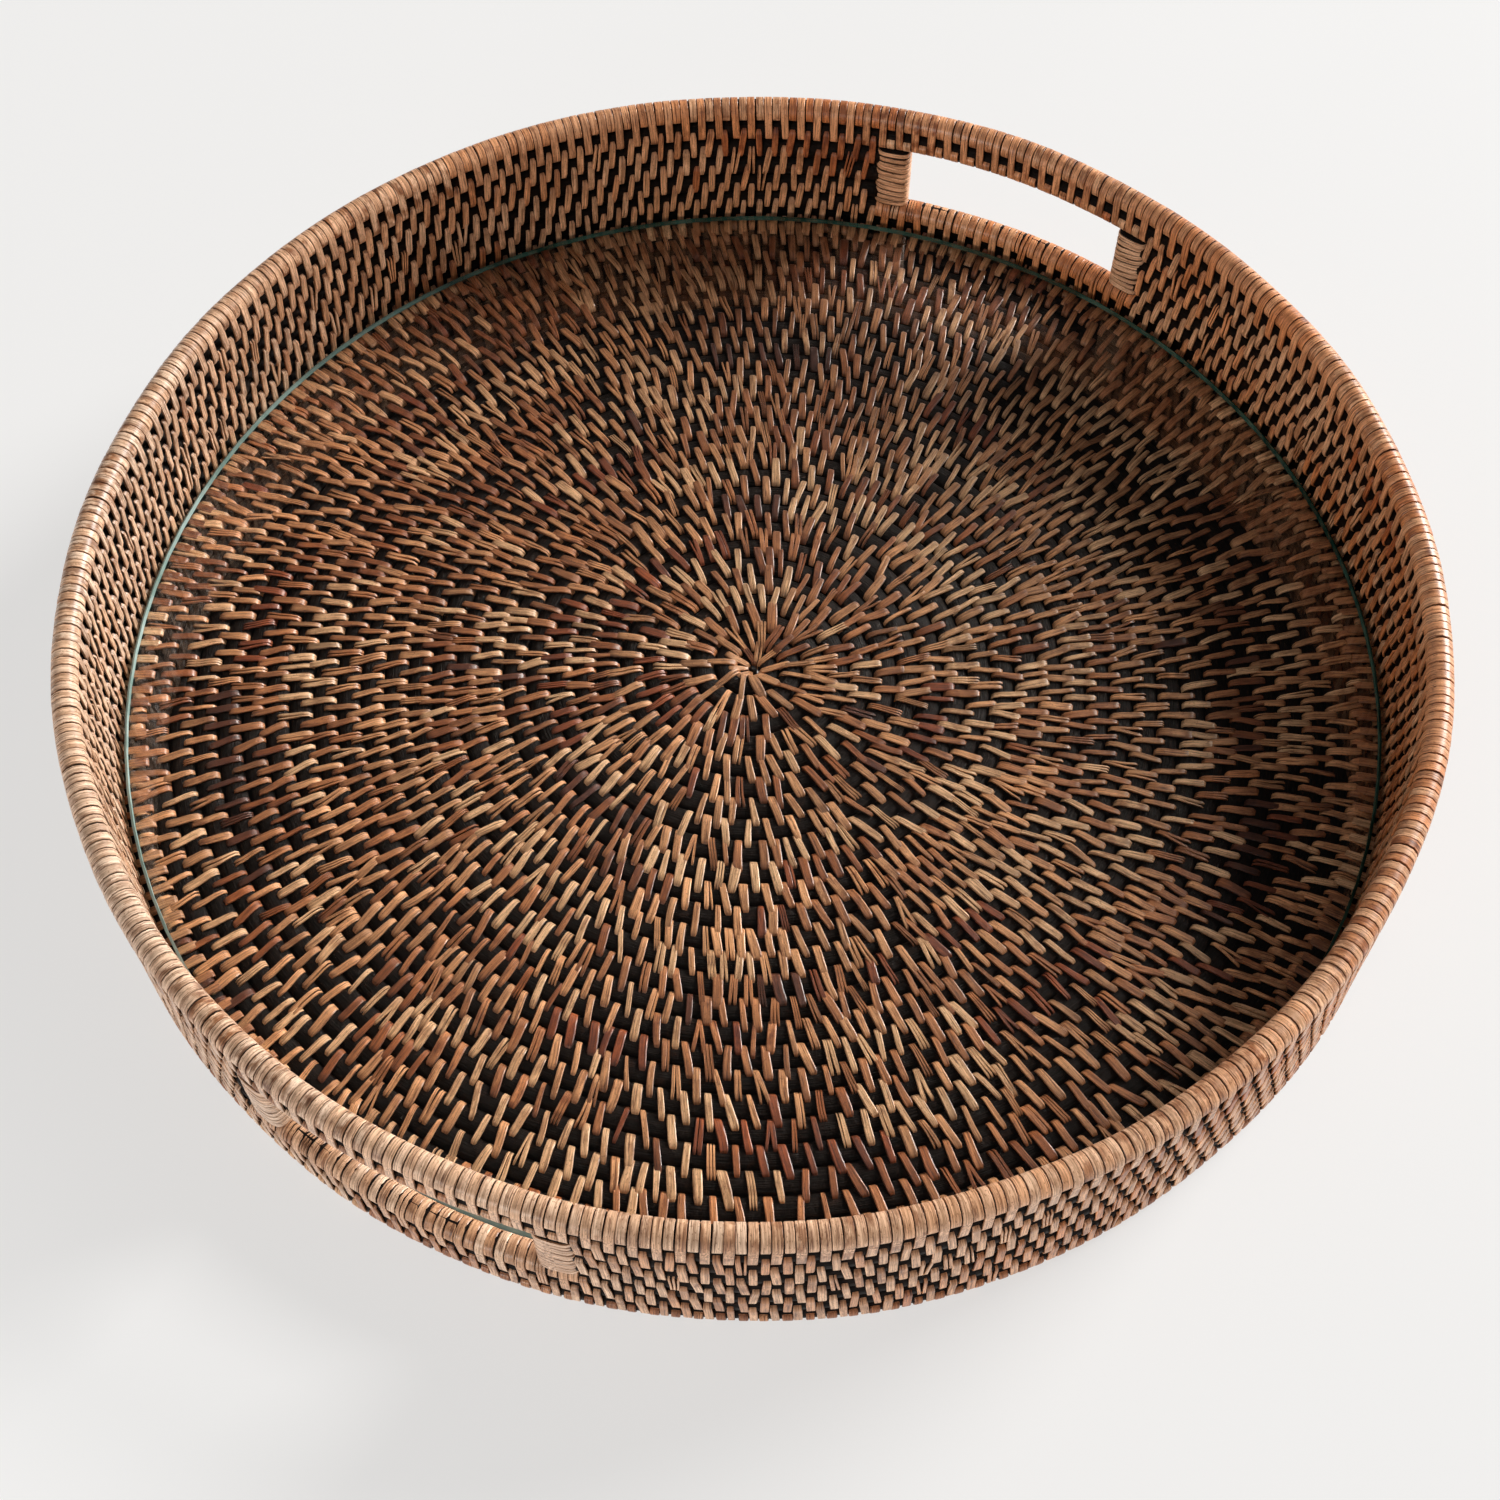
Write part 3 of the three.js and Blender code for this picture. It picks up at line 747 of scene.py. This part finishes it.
def foot_stitches():
    """Round the outside of the bottom row and into the base."""
    angle = every_second(0)
    angle = angle + rng.normal(0, 0.3, len(angle)) / WALL_RADIUS
    count = len(angle)
    tone, mottle, ident = run_tones(count, [0.10, 0.34, 0.33, 0.15, 0.06, 0.02])
    start = math.radians(22)
    start_reach, start_depth = WALL_CANE * math.sin(start), WALL_CANE * math.cos(start)
    middle = BASE_Z - ROW_1_Z
    under, over = middle - BASE_CANE, middle + BASE_CANE
    # from the outside of the bottom cane down, inwards below the base, up and back
    points = [(start_reach, start_depth - 0.35, 0.86, 0.5)]
    for degrees in map(math.radians, (8, -10, -30, -52, -72, -90)):
        sine, cosine = math.sin(degrees), math.cos(degrees)
        points.append((WALL_CANE * sine, WALL_CANE * cosine, sine, cosine))
    points += [(0.75 - WALL_CANE, -2.6, -0.9, -0.45),
               (under - 1.4, -6.5, -0.84, -0.55),
               (under - 0.02, -11.0, -0.99, -0.15),
               (under + 0.05, -14.2, -0.86, -0.5),
               (middle - 1.0, -14.8, 0.0, -1.0),
               (over - 0.4, -14.6, 0.6, -0.8),
               (over, -13.8, 0.95, -0.3),
               (over, -8.0, 1.0, 0.0),
               (over - 0.3, -3.2, 0.99, 0.1),
               (5.0, 0.5, 0.7, 0.7),
               (start_reach + 0.05, 2.6, 0.9, 0.4)]
    loop = stacked(points, count)
    width = rng.normal(3.3, 0.2, count).clip(2.7, 3.8)[:, None]
    shift = rng.normal(0, 0.06, count)[:, None] * (loop[0] - 3)
    bundle = Bundle()
    bundle.sweep(*wall_points(loop, angle, ROW_1_Z, shift), width, WALL_STRIP, SECTION, True,
                 ident, tone, mottle)
    return bundle


def hoop(bundle, height, radius, seed, tall, ends=None):
    """A cane along the wall: a full hoop, or an arc between two angles."""
    if ends is None:
        angle = np.arange(270) * 2 * math.pi / 270
    else:
        angle = np.linspace(*ends, 120)
    path = np.stack([WALL_RADIUS * np.cos(angle), WALL_RADIUS * np.sin(angle),
                     np.full(len(angle), height)], -1)
    uneven = 1 + 0.012 * np.sin(angle * 31 + seed) + 0.008 * np.sin(angle * 53 + seed * 2)
    tube(bundle, path, radius * uneven, np.array([0.0, 0.0, 1.0]), closed=ends is None,
         ident=seed * 7.3, wide=0.97, tall=tall, rows=6)


def wall_canes():
    """The full hoops, and those cut by the hand holds."""
    full, cut = Bundle(), Bundle()
    tall = WALL_CANE_HALF_HEIGHT / WALL_CANE
    for row in (1, 2, 3, 7):
        hoop(full, row_z(row), WALL_CANE, row, tall)
    inset = math.radians(NOTCH - 0.9)
    for row in (4, 5, 6):
        for handle, seed in zip(HANDLES, (row, row + 10)):
            hoop(cut, row_z(row), WALL_CANE, seed, tall,
                 ends=(handle + inset, handle + math.pi - inset))
    return full, cut


# ================================================================ the rim
def rim_cane():
    bundle = Bundle()
    hoop(bundle, RIM_Z, RIM_CANE, seed=8, tall=1.0)
    return bundle


def rim_wraps(long_one):
    """Every second rim wrap: round the rim cane, and the top wall cane if long_one."""
    angle = jittered(every_second(long_one), 0.07, 7)
    count = len(angle)
    tone, mottle, ident = run_tones(count, [0.24, 0.46, 0.26, 0.03, 0.007, 0.003],
                                    runs=(3, 9), palette=PALE_TONES, strays=0.0)
    tone = sheen_painted_tone(tone, angle, RIM_POWERS, RIM_SHEEN_SIDE, relight=0.0)
    mottle = np.clip(mottle * 1.35 + 0.05, 0, 1)
    width = rng.normal(3.26, 0.10, count).clip(2.95, 3.45)[:, None]
    lean = rng.normal(0.02, 0.02, count)[:, None]
    thick = RIM_STRIP * rng.normal(1, 0.045, count).clip(0.88, 1.06)[:, None]
    loop = ring_loop(count, RIM_CANE, WALL_CANE, (RIM_Z - row_z(7)) if long_one else 0.0)
    reach, depth = loop[:2]
    width = width * (1 + 0.018 * depth / RIM_CANE) * np.where(reach < -4.5, 0.97, 1.0)
    shift = lean * reach + 0.10 * depth / RIM_CANE
    # a knot or a dark stain on a wrap here and there
    marks = np.random.default_rng(31 + long_one)
    steps = reach.shape[1]
    mark_at = np.where(marks.random(count) < 0.10, marks.uniform(0, steps, count), -9.0)
    dark = np.exp(-((np.arange(steps)[None, :] - mark_at[:, None]) / 0.55) ** 2)[..., None]
    dark = dark * marks.uniform(0.40, 0.80, (count, 1, 1))
    tone = np.maximum(tone[:, None, :] * (1 - dark * np.array([0.86, 1.0, 1.06])), 0.004)
    bundle = Bundle()
    bundle.sweep(*wall_points(loop, angle, RIM_Z, shift), width, thick, RIM_SECTION, True,
                 ident, tone, mottle)
    return bundle


# ================================================================ hand holds
def hold_angles(odd, handle, spread, row):
    angle = every_second(odd)
    return jittered(angle[off_handle(angle, handle) < NOTCH + 0.1], spread, row)


def lintel_stitches(handle):
    """Short stitches between the long rim wraps, round the underside of row 7."""
    angle = hold_angles(0, handle, 0.15, 7)
    count = len(angle)
    tone, mottle, ident = run_tones(count, [0.1, 0.3, 0.3, 0.18, 0.1, 0.02], palette=LIT_WALL_TONES)
    loop = stub_loop(WALL_CANE, np.radians(rng.normal(20, 5, count))[:, None])
    width = rng.normal(3.4, 0.15, count).clip(3, 3.7)[:, None]
    bundle = Bundle()
    bundle.sweep(*wall_points(loop, angle, row_z(7), 0.0), width, WALL_STRIP, SECTION, True,
                 ident, sheen_painted_tone(tone, angle), mottle)
    return bundle


def sill_wraps(handle):
    """Close wrap round row 3, every second strip also round the row below."""
    bundle = Bundle()
    for long_one in (0, 1):
        angle = hold_angles(1 - long_one, handle, 0.10, 3)
        count = len(angle)
        tone, mottle, ident = run_tones(count, [0.14, 0.30, 0.30, 0.16, 0.08, 0.02],
                                        runs=(2, 7), palette=LIT_WALL_TONES)
        tone = sheen_painted_tone(tone, angle)
        source, offset, factor, _ = split_strips(count, 0.14)
        width = rng.normal(3.25, 0.14, count).clip(2.9, 3.5)[source][:, None]
        lean = rng.normal(-0.05, 0.04, count)[source][:, None]
        thick = WALL_STRIP * rng.normal(1, 0.05, count).clip(0.85, 1.05)[source][:, None]
        loop = ring_loop(len(source), WALL_CANE, WALL_CANE, ROW_HEIGHT * long_one)
        shift = offset * width + lean * loop[0]
        bundle.sweep(*wall_points(loop, angle[source], row_z(3), shift), width * factor, thick,
                     SECTION, True, ident[source], tone[source], mottle[source])
    return bundle


POST_WRAPS = 11
POST_STEPS = 22                                          # points round a post
POST_HALF_DEPTH = WALL_OUTER - WALL_RADIUS - WALL_STRIP - 0.1
POST_HALF_WIDTH = POST_WIDTH / 2 - WALL_STRIP
POST_CORNER = 2 / 3.4                                    # exponent of its rounded-box outline


def handle_post(hold, handle, side):
    """The wraps and the core of one post; side is -1 or 1 along the wall."""
    middle = handle + math.radians(side * (HOLE_HALF + POST_DEGREES / 2))
    outwards = np.array([math.cos(middle), math.sin(middle), 0.0])
    sideways = np.array([-math.sin(middle), math.cos(middle), 0.0])
    turn = np.linspace(0, 2 * math.pi, POST_STEPS, endpoint=False)
    depth = signed_power(np.cos(turn), POST_CORNER)
    across = signed_power(np.sin(turn), POST_CORNER)
    n_depth = signed_power(np.cos(turn), 2 - POST_CORNER) / POST_HALF_DEPTH
    n_across = signed_power(np.sin(turn), 2 - POST_CORNER) / POST_HALF_WIDTH
    normal = unit(n_depth[:, None] * outwards + n_across[:, None] * sideways)
    pitch = (HOLE_TOP - HOLE_BOTTOM - 0.6) / POST_WRAPS
    tone, mottle, ident = run_tones(POST_WRAPS, [0.35, 0.45, 0.20, 0, 0, 0], runs=(7, 12),
                                    palette=PALE_TONES, strays=0.0)
    tone = sheen_painted_tone(tone, np.full(POST_WRAPS, middle))
    paths, widths, thicks = [], [], []
    for j in range(POST_WRAPS):
        tilt = (0.5 if side > 0 else -1.2 - 1.0 * j / POST_WRAPS) * (1 if hold == 0 else -1)
        tilt += rng.normal(0, 0.15)
        tilt *= min(1.0, (min(j, POST_WRAPS - 1 - j) + 0.6) / 3.0)   # level at both ends
        height = HOLE_BOTTOM + 0.3 + pitch * (j + 0.5)
        height = height + tilt * across + 0.25 * np.cos(turn) * rng.normal(0, 0.5)
        grow = rng.normal(0, 0.05)
        path = (WALL_RADIUS * outwards + (depth * (POST_HALF_DEPTH + grow))[:, None] * outwards
                + (across * (POST_HALF_WIDTH + grow))[:, None] * sideways)
        path[:, 2] = np.clip(height, HOLE_BOTTOM + 1.25, HOLE_TOP - 1.25)
        paths.append(path)
        widths.append(pitch * rng.uniform(0.74, 0.88))
        thicks.append(WALL_STRIP * rng.uniform(0.9, 1.05))
    wraps = Bundle()
    wraps.sweep(np.array(paths), normal, np.array(widths)[:, None], np.array(thicks)[:, None],
                SECTION, True, ident, tone, mottle * 0.5)

    core = Bundle()
    heights = np.linspace(HOLE_BOTTOM - 0.2, HOLE_TOP + 0.2, 8)
    path = np.tile(WALL_RADIUS * outwards, (len(heights), 1))
    path[:, 2] = heights
    section = np.stack([across * (POST_HALF_WIDTH - 0.02), depth * (POST_HALF_DEPTH - 0.02)], -1)
    core.sweep(path[None], outwards, 2.0, 1.0, section, False, np.array([5.0]),
               np.array([CANE_TINT]), np.array([CANE_MOTTLE]))
    return wraps, core


# ================================================================ materials
class Shader:
    """Short ways to add nodes to a node tree.  Values may be constants or sockets."""

    def __init__(self, tree):
        self.tree = tree

    def put(self, socket, value):
        if isinstance(value, bpy.types.NodeSocket):
            self.tree.links.new(value, socket)
        elif socket.type == "RGBA":
            socket.default_value = (*[float(v) for v in value], 1.0)
        else:
            socket.default_value = value

    def add(self, kind, inputs=None, **settings):
        made = self.tree.nodes.new(kind)
        for key, value in settings.items():
            setattr(made, key, value)
        for key, value in (inputs or {}).items():
            self.put(made.inputs[key], value)
        return made

    def math(self, operation, first, second=None, clamp=False):
        inputs = {0: first} if second is None else {0: first, 1: second}
        return self.add("ShaderNodeMath", inputs, operation=operation, use_clamp=clamp).outputs[0]

    def mix(self, amount, first, second, blend="MIX"):
        return self.add("ShaderNodeMix", {0: amount, 6: first, 7: second},
                        data_type="RGBA", blend_type=blend).outputs[2]

    def darken(self, amount, colour, shade):
        """Colour multiplied by shade, as far as amount says."""
        return self.mix(amount, colour, self.mix(1.0, colour, shade, "MULTIPLY"))

    def ramp(self, value, low, high):
        """Smooth 0 to 1 while value goes from low to high."""
        return self.add("ShaderNodeMapRange",
                        {"From Min": low, "From Max": high, "Value": value},
                        interpolation_type="SMOOTHSTEP").outputs[0]

    def noise(self, vector, scale, detail, roughness):
        return self.add("ShaderNodeTexNoise", {"Scale": scale, "Detail": detail,
                        "Roughness": roughness, "Vector": vector}).outputs["Fac"]

    def coordinate(self, name):
        return self.add("ShaderNodeTexCoord").outputs[name]

    def separate(self, vector):
        return self.add("ShaderNodeSeparateXYZ", {0: vector}).outputs

    def dot(self, vector, direction):
        return self.add("ShaderNodeVectorMath", {0: vector, 1: direction},
                        operation="DOT_PRODUCT").outputs["Value"]

    def attribute(self, name):
        return self.add("ShaderNodeAttribute", attribute_name=name).outputs

    def bump(self, height, strength, distance):
        return self.add("ShaderNodeBump", {"Strength": strength, "Distance": distance,
                                           "Height": height}).outputs[0]


def new_material(name):
    """An empty material, its shader tree and its surface socket."""
    material = bpy.data.materials.new(name)
    material.use_nodes = True
    tree = material.node_tree
    for old in list(tree.nodes):
        tree.nodes.remove(old)
    surface = tree.nodes.new("ShaderNodeOutputMaterial").inputs["Surface"]
    return material, Shader(tree), surface


def level_direction(degrees):
    angle = math.radians(degrees)
    return (math.cos(angle), math.sin(angle), 0.0)


# Noises of a strip.  Columns: frequency along (per mm), across (per mm) and from strip
# to strip; detail; roughness.
STRIP_NOISES = {
    "fibre": (0.08, 1.7, 1.0, 4.0, 0.6),      # long grain
    "crack": (0.10, 1.9, 1.4, 3.0, 0.6),
    "blotch": (0.16, 0.30, 1.0, 3.0, 0.55),   # skin patches, 5 to 10 mm
    "ragged": (0.5, 0.7, 1.3, 4.0, 0.65),     # breaks up the patches
    "speck": (1.1, 1.7, 1.1, 2.0, 0.5),
}


def strip_material(name, mottle_gain, roughness):
    material, shader, surface = new_material(name)
    place_on_strip = shader.attribute("strip")["Vector"]
    tint = shader.attribute("tint")
    axes = shader.separate(place_on_strip)
    noises = {}
    for key, (*frequencies, detail, rough) in STRIP_NOISES.items():
        vector = shader.add("ShaderNodeCombineXYZ", {
            i: shader.math("MULTIPLY", axes[i], frequencies[i]) for i in range(3)}).outputs[0]
        noises[key] = shader.noise(vector, scale=1.0, detail=detail, roughness=rough)

    # light and dark grain
    grain = shader.ramp(noises["fibre"], low=0.30, high=0.72)
    grain = shader.mix(grain, (0.52, 0.43, 0.35), (1.28, 1.26, 1.23))
    colour = shader.mix(1.0, tint["Color"], grain, "MULTIPLY")
    # brown patches, more on strips with a high mottle
    patch = shader.math("ADD", noises["blotch"], shader.math("MULTIPLY", noises["ragged"], 0.35))
    patch = shader.ramp(patch, low=0.58, high=0.82)
    mottle = shader.math("MULTIPLY", tint["Alpha"], mottle_gain)
    amount = shader.math("MULTIPLY", patch, mottle, clamp=True)
    colour = shader.darken(amount, colour, shade=(0.42, 0.27, 0.17))
    # specks, cracks and dark edges: mask, its strength, shade
    across = shader.math("ABSOLUTE", axes[1])
    for mask, strength, shade in (
            (shader.ramp(noises["speck"], low=0.60, high=0.68), 0.65, (0.40, 0.28, 0.2)),
            (shader.ramp(noises["crack"], low=0.57, high=0.63), 0.80, (0.26, 0.16, 0.11)),
            (shader.ramp(across, low=1.25, high=1.75), 0.40, (0.45, 0.34, 0.27))):
        colour = shader.darken(shader.math("MULTIPLY", mask, strength), colour, shade)

    uneven_gloss = shader.math("MULTIPLY", noises["blotch"], 0.22)
    height = shader.math("ADD", shader.math("MULTIPLY", noises["fibre"], 0.7),
                         shader.math("MULTIPLY", noises["crack"], 0.3))
    bsdf = shader.add("ShaderNodeBsdfPrincipled", {
        "Base Color": colour,
        "Roughness": shader.math("ADD", roughness - 0.10, uneven_gloss),
        "Specular IOR Level": 0.42,
        "Coat Weight": 0.40,
        "Coat Roughness": 0.30,
        "Normal": shader.bump(height, strength=0.5, distance=0.0003)})
    shader.put(surface, bsdf.outputs[0])
    return material


def cane_material(name):
    """Near-black brown foundation cane with lighter flecks."""
    material, shader, surface = new_material(name)
    along, across, ident = shader.separate(shader.attribute("strip")["Vector"])
    vector = shader.add("ShaderNodeCombineXYZ", {
        0: shader.math("MULTIPLY", along, 0.06),
        1: shader.math("MULTIPLY", across, 1.6),
        2: ident}).outputs[0]
    fibre = shader.noise(vector, scale=1.0, detail=5.0, roughness=0.6)
    fleck = shader.noise(shader.coordinate("Object"), scale=260.0, detail=3.0, roughness=0.6)
    grain = shader.ramp(fibre, low=0.35, high=0.75)
    colour = shader.mix(grain, srgb(12, 6, 3), srgb(31, 17, 10))
    flecked = shader.math("MULTIPLY", shader.ramp(fleck, low=0.58, high=0.75), 0.40)
    colour = shader.mix(flecked, colour, srgb(62, 36, 22))
    height = shader.math("ADD", fibre, fleck)
    bsdf = shader.add("ShaderNodeBsdfPrincipled", {
        "Base Color": colour,
        "Roughness": shader.math("ADD", 0.42, shader.math("MULTIPLY", fleck, 0.4)),
        "Specular IOR Level": 0.14,
        "Normal": shader.bump(height, strength=0.8, distance=0.0008)})
    shader.put(surface, bsdf.outputs[0])
    return material


def glass_material(name):
    """Clear faces, and a matt sea-green ground edge, painted paler and given a painted glow on
    one side.
    """
    material, shader, surface = new_material(name)
    glassy = shader.add("ShaderNodeBsdfPrincipled", {
        "Base Color": (0.985, 1.0, 0.99), "Roughness": 0.0, "IOR": 1.52,
        "Transmission Weight": 1.0})
    clear = shader.add("ShaderNodeBsdfTransparent", {"Color": (0.955, 0.965, 0.96)})
    # shadow and diffuse rays pass straight through
    rays = shader.add("ShaderNodeLightPath").outputs
    straight = shader.math("MAXIMUM", rays["Is Shadow Ray"], rays["Is Diffuse Ray"])
    faces = shader.add("ShaderNodeMixShader",
                       {0: straight, 1: glassy.outputs[0], 2: clear.outputs[0]})

    geometry = shader.add("ShaderNodeNewGeometry").outputs
    upright = shader.math("ABSOLUTE", shader.separate(geometry["True Normal"])[2])
    on_edge = shader.math("LESS_THAN", upright, 0.9)
    cloud = shader.noise(shader.coordinate("Object"), scale=60.0, detail=3.0, roughness=0.5)
    cloud = shader.ramp(cloud, low=0.35, high=0.65)
    # painted light: the edge is painted pale, with a painted glow, on the side where light leaves
    # the sheet
    edge_light = shader.ramp(shader.dot(geometry["Position"], level_direction(144.0)),
                      low=-0.02, high=0.24)
    dull = shader.mix(cloud, (0.010, 0.036, 0.026), (0.045, 0.11, 0.085))
    pale = shader.mix(cloud, (0.16, 0.24, 0.21), (0.36, 0.45, 0.42))
    edge = shader.add("ShaderNodeBsdfDiffuse", {"Color": shader.mix(edge_light, dull, pale)})
    glow = shader.add("ShaderNodeEmission", {
        "Color": (0.46, 0.62, 0.56), "Strength": shader.math("MULTIPLY", edge_light, 0.17)})
    edge = shader.add("ShaderNodeAddShader", {0: edge.outputs[0], 1: glow.outputs[0]})
    both = shader.add("ShaderNodeMixShader",
                      {0: on_edge, 1: faces.outputs[0], 2: edge.outputs[0]})
    shader.put(surface, both.outputs[0])
    return material


def floor_material(name):
    """Pale floor with a painted pool of light on one side of the basket, glowing more far away.
    """
    material, shader, surface = new_material(name)
    position = shader.coordinate("Object")
    # painted light: a brighter pool of glow on the floor on one side of the basket
    light_pool = shader.dot(position, level_direction(162.6))
    away = shader.add("ShaderNodeVectorMath", {0: position}, operation="LENGTH").outputs["Value"]
    light_pool = shader.math("MULTIPLY", shader.ramp(light_pool, low=0.26, high=0.46), 0.09)
    away = shader.math("MULTIPLY", shader.ramp(away, low=3.5, high=10.0), 0.24)
    glow = shader.math("ADD", 0.638, shader.math("ADD", light_pool, away))
    bsdf = shader.add("ShaderNodeBsdfPrincipled", {
        "Base Color": (0.225, 0.224, 0.222), "Roughness": 0.8,
        "Emission Color": (1.0, 0.992, 0.98), "Emission Strength": glow})
    shader.put(surface, bsdf.outputs[0])
    return material


# ================================================================ pieces
def place(bundle, name, material, slot, *parts):
    """Build a piece that stands in for the named parts of the frame."""
    ob = bundle.build(name, material)
    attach(ob, "basket")
    if parts:
        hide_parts(*parts)


def place_basket():
    # Bundles first, in the order of their random draws; then the objects.
    base_pieces = base_stitches()
    wall_pieces = wall_stitches()
    foot = foot_stitches()
    rims = [rim_wraps(long_one) for long_one in (0, 1)]
    holds = [(lintel_stitches(handle), sill_wraps(handle)) for handle in HANDLES]
    posts = [handle_post(hold, handle, side)
             for hold, handle in enumerate(HANDLES) for side in (-1, 1)]
    full_canes, cut_canes = wall_canes()

    binding = strip_material("split_cane", mottle_gain=0.85, roughness=0.50)
    pale = strip_material("split_cane_rim", mottle_gain=1.0, roughness=0.46)
    cane = cane_material("dark_cane")
    glass = glass_material("clear_glass")
    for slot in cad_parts["glass_insert"].material_slots:
        slot.link = "OBJECT"
        slot.material = glass

    place(base_cane(), "base_spiral_cane", cane, "dark_cane", "base_coil_cane")
    for k, bundle in enumerate(base_pieces):
        parts = ["base_binding"] if k == 0 else []
        place(bundle, f"base_stitches_{k + 1}", binding, "binding", *parts)
    place(full_canes, "wall_canes_full", cane, "dark_cane",
          *[f"wall_coil_{row}" for row in (1, 2, 3, 7)])
    place(cut_canes, "wall_canes_cut", cane, "dark_cane",
          *[f"wall_coil_{row}_{side}" for row in (4, 5, 6) for side in ("back", "front")])
    place(rim_cane(), "rim_foundation_cane", cane, "dark_cane", "rim_cane")
    place(wall_pieces[0], "wall_stitches_upper", binding, "binding", "wall_binding")
    place(wall_pieces[1], "wall_stitches_middle", binding, "binding")
    place(wall_pieces[2], "wall_stitches_lower", binding, "binding")
    place(foot, "foot_stitches", binding, "binding")
    place(rims[0], "rim_wraps_short", pale, "pale_binding", "rim_binding")
    place(rims[1], "rim_wraps_long", pale, "pale_binding")
    for k, (lintel, sill) in enumerate(holds, 1):
        place(sill, f"sill_wraps_{k}", binding, "binding", f"sill_binding_{k}")
        place(lintel, f"lintel_stitches_{k}", binding, "binding", f"lintel_binding_{k}")
    for k, (wraps, core) in enumerate(posts, 1):
        place(wraps, f"post_wraps_{k}", pale, "pale_binding", f"post_binding_{k}")
        place(core, f"post_cane_{k}", cane, "dark_cane", f"handle_post_{k}")


# ================================================================ stage
HANDLE_AZIMUTH = math.radians(62.4)   # of the +X hand hold, seen in the camera's frame


def turned(vector):
    """From the camera's frame (camera looking along +Y) to the basket's frame."""
    cosine, sine = math.cos(-HANDLE_AZIMUTH), math.sin(-HANDLE_AZIMUTH)
    x, y, z = vector
    return Vector((x * cosine - y * sine, x * sine + y * cosine, z))


def add_floor():
    bpy.ops.mesh.primitive_plane_add(size=40.0, location=(0, 0, -0.0004))
    floor = bpy.context.active_object
    floor.name = "floor"
    floor.data.materials.append(floor_material("pale_floor"))


def add_camera(scene):
    data = bpy.data.cameras.new("camera")
    camera = bpy.data.objects.new("camera", data)
    scene.collection.objects.link(camera)
    position = turned((0.0, -0.4604259, 0.6239193))      # measured from the rim's height
    position.z += RIM_Z * MM
    right = turned((1.0, -0.0026, -0.0032)).normalized()
    up = turned((0.0039, 0.8507, 0.5256)).normalized()
    back = turned((0.0013, -0.5256, 0.8507)).normalized()
    camera.matrix_world = Matrix((*zip(right, up, back, position), (0, 0, 0, 1)))
    data.sensor_width = 36.0
    data.sensor_fit = "HORIZONTAL"
    data.lens = 50.4348
    data.clip_start = 0.01
    scene.camera = camera


def add_area_light(scene, name, position, target, size, power, colour):
    """A round lamp; position and target are in the camera's frame."""
    data = bpy.data.lights.new(name, "AREA")
    data.shape = "DISK"
    data.size = size
    data.energy = power
    data.color = colour
    lamp = bpy.data.objects.new(name, data)
    scene.collection.objects.link(lamp)
    lamp.location = turned(position)
    aim = turned(target) - turned(position)
    lamp.rotation_euler = aim.to_track_quat("-Z", "Y").to_euler()


def add_world(scene):
    """Brighter towards the horizon; dark where the polished glass would mirror it."""
    world = bpy.data.worlds.new("world")
    scene.world = world
    world.use_nodes = True
    shader = Shader(world.node_tree)
    background = world.node_tree.nodes["Background"].inputs
    rays = shader.add("ShaderNodeLightPath").outputs
    height = shader.separate(shader.coordinate("Generated"))[2]
    high = shader.ramp(height, low=0.0, high=0.65)
    sky = shader.math("SUBTRACT", 0.62, shader.math("MULTIPLY", high, 0.48))
    glossy = shader.math("MULTIPLY", rays["Is Glossy Ray"], 0.70)
    mirrored_rays = shader.math("MULTIPLY", rays["Is Singular Ray"], 0.94)
    kept = shader.math("SUBTRACT", 1.0, shader.math("MAXIMUM", glossy, mirrored_rays))
    light = shader.math("MULTIPLY", sky, kept)
    # the backdrop itself is as pale as the floor
    seen = rays["Is Camera Ray"]
    light = shader.math("MULTIPLY", light, shader.math("SUBTRACT", 1.0, seen))
    backdrop = shader.math("MULTIPLY", seen, 0.88)
    shader.put(background[0], (0.985, 0.99, 1.0))
    shader.put(background[1], shader.math("ADD", light, backdrop))


place_basket()
add_floor()
scene = bpy.context.scene
add_camera(scene)
add_area_light(scene, "key", position=(6.26, 4.39, 3.74), target=(0, 0, 0.02), size=3.9,
               power=1130.0, colour=(1.0, 0.99, 0.975))
add_area_light(scene, "top", position=(-0.8, -1.0, 3.4), target=(0, 0, 0), size=2.6,
               power=8.0, colour=(0.98, 0.99, 1.0))
add_area_light(scene, "fill", position=(-1.9, -3.2, 0.66), target=(0, 0, 0.03), size=1.2,
               power=40.0, colour=(1.0, 0.92, 0.85))
add_world(scene)
scene.view_settings.view_transform = "Standard"
scene.view_settings.look = "None"
scene.view_settings.exposure = 0.0
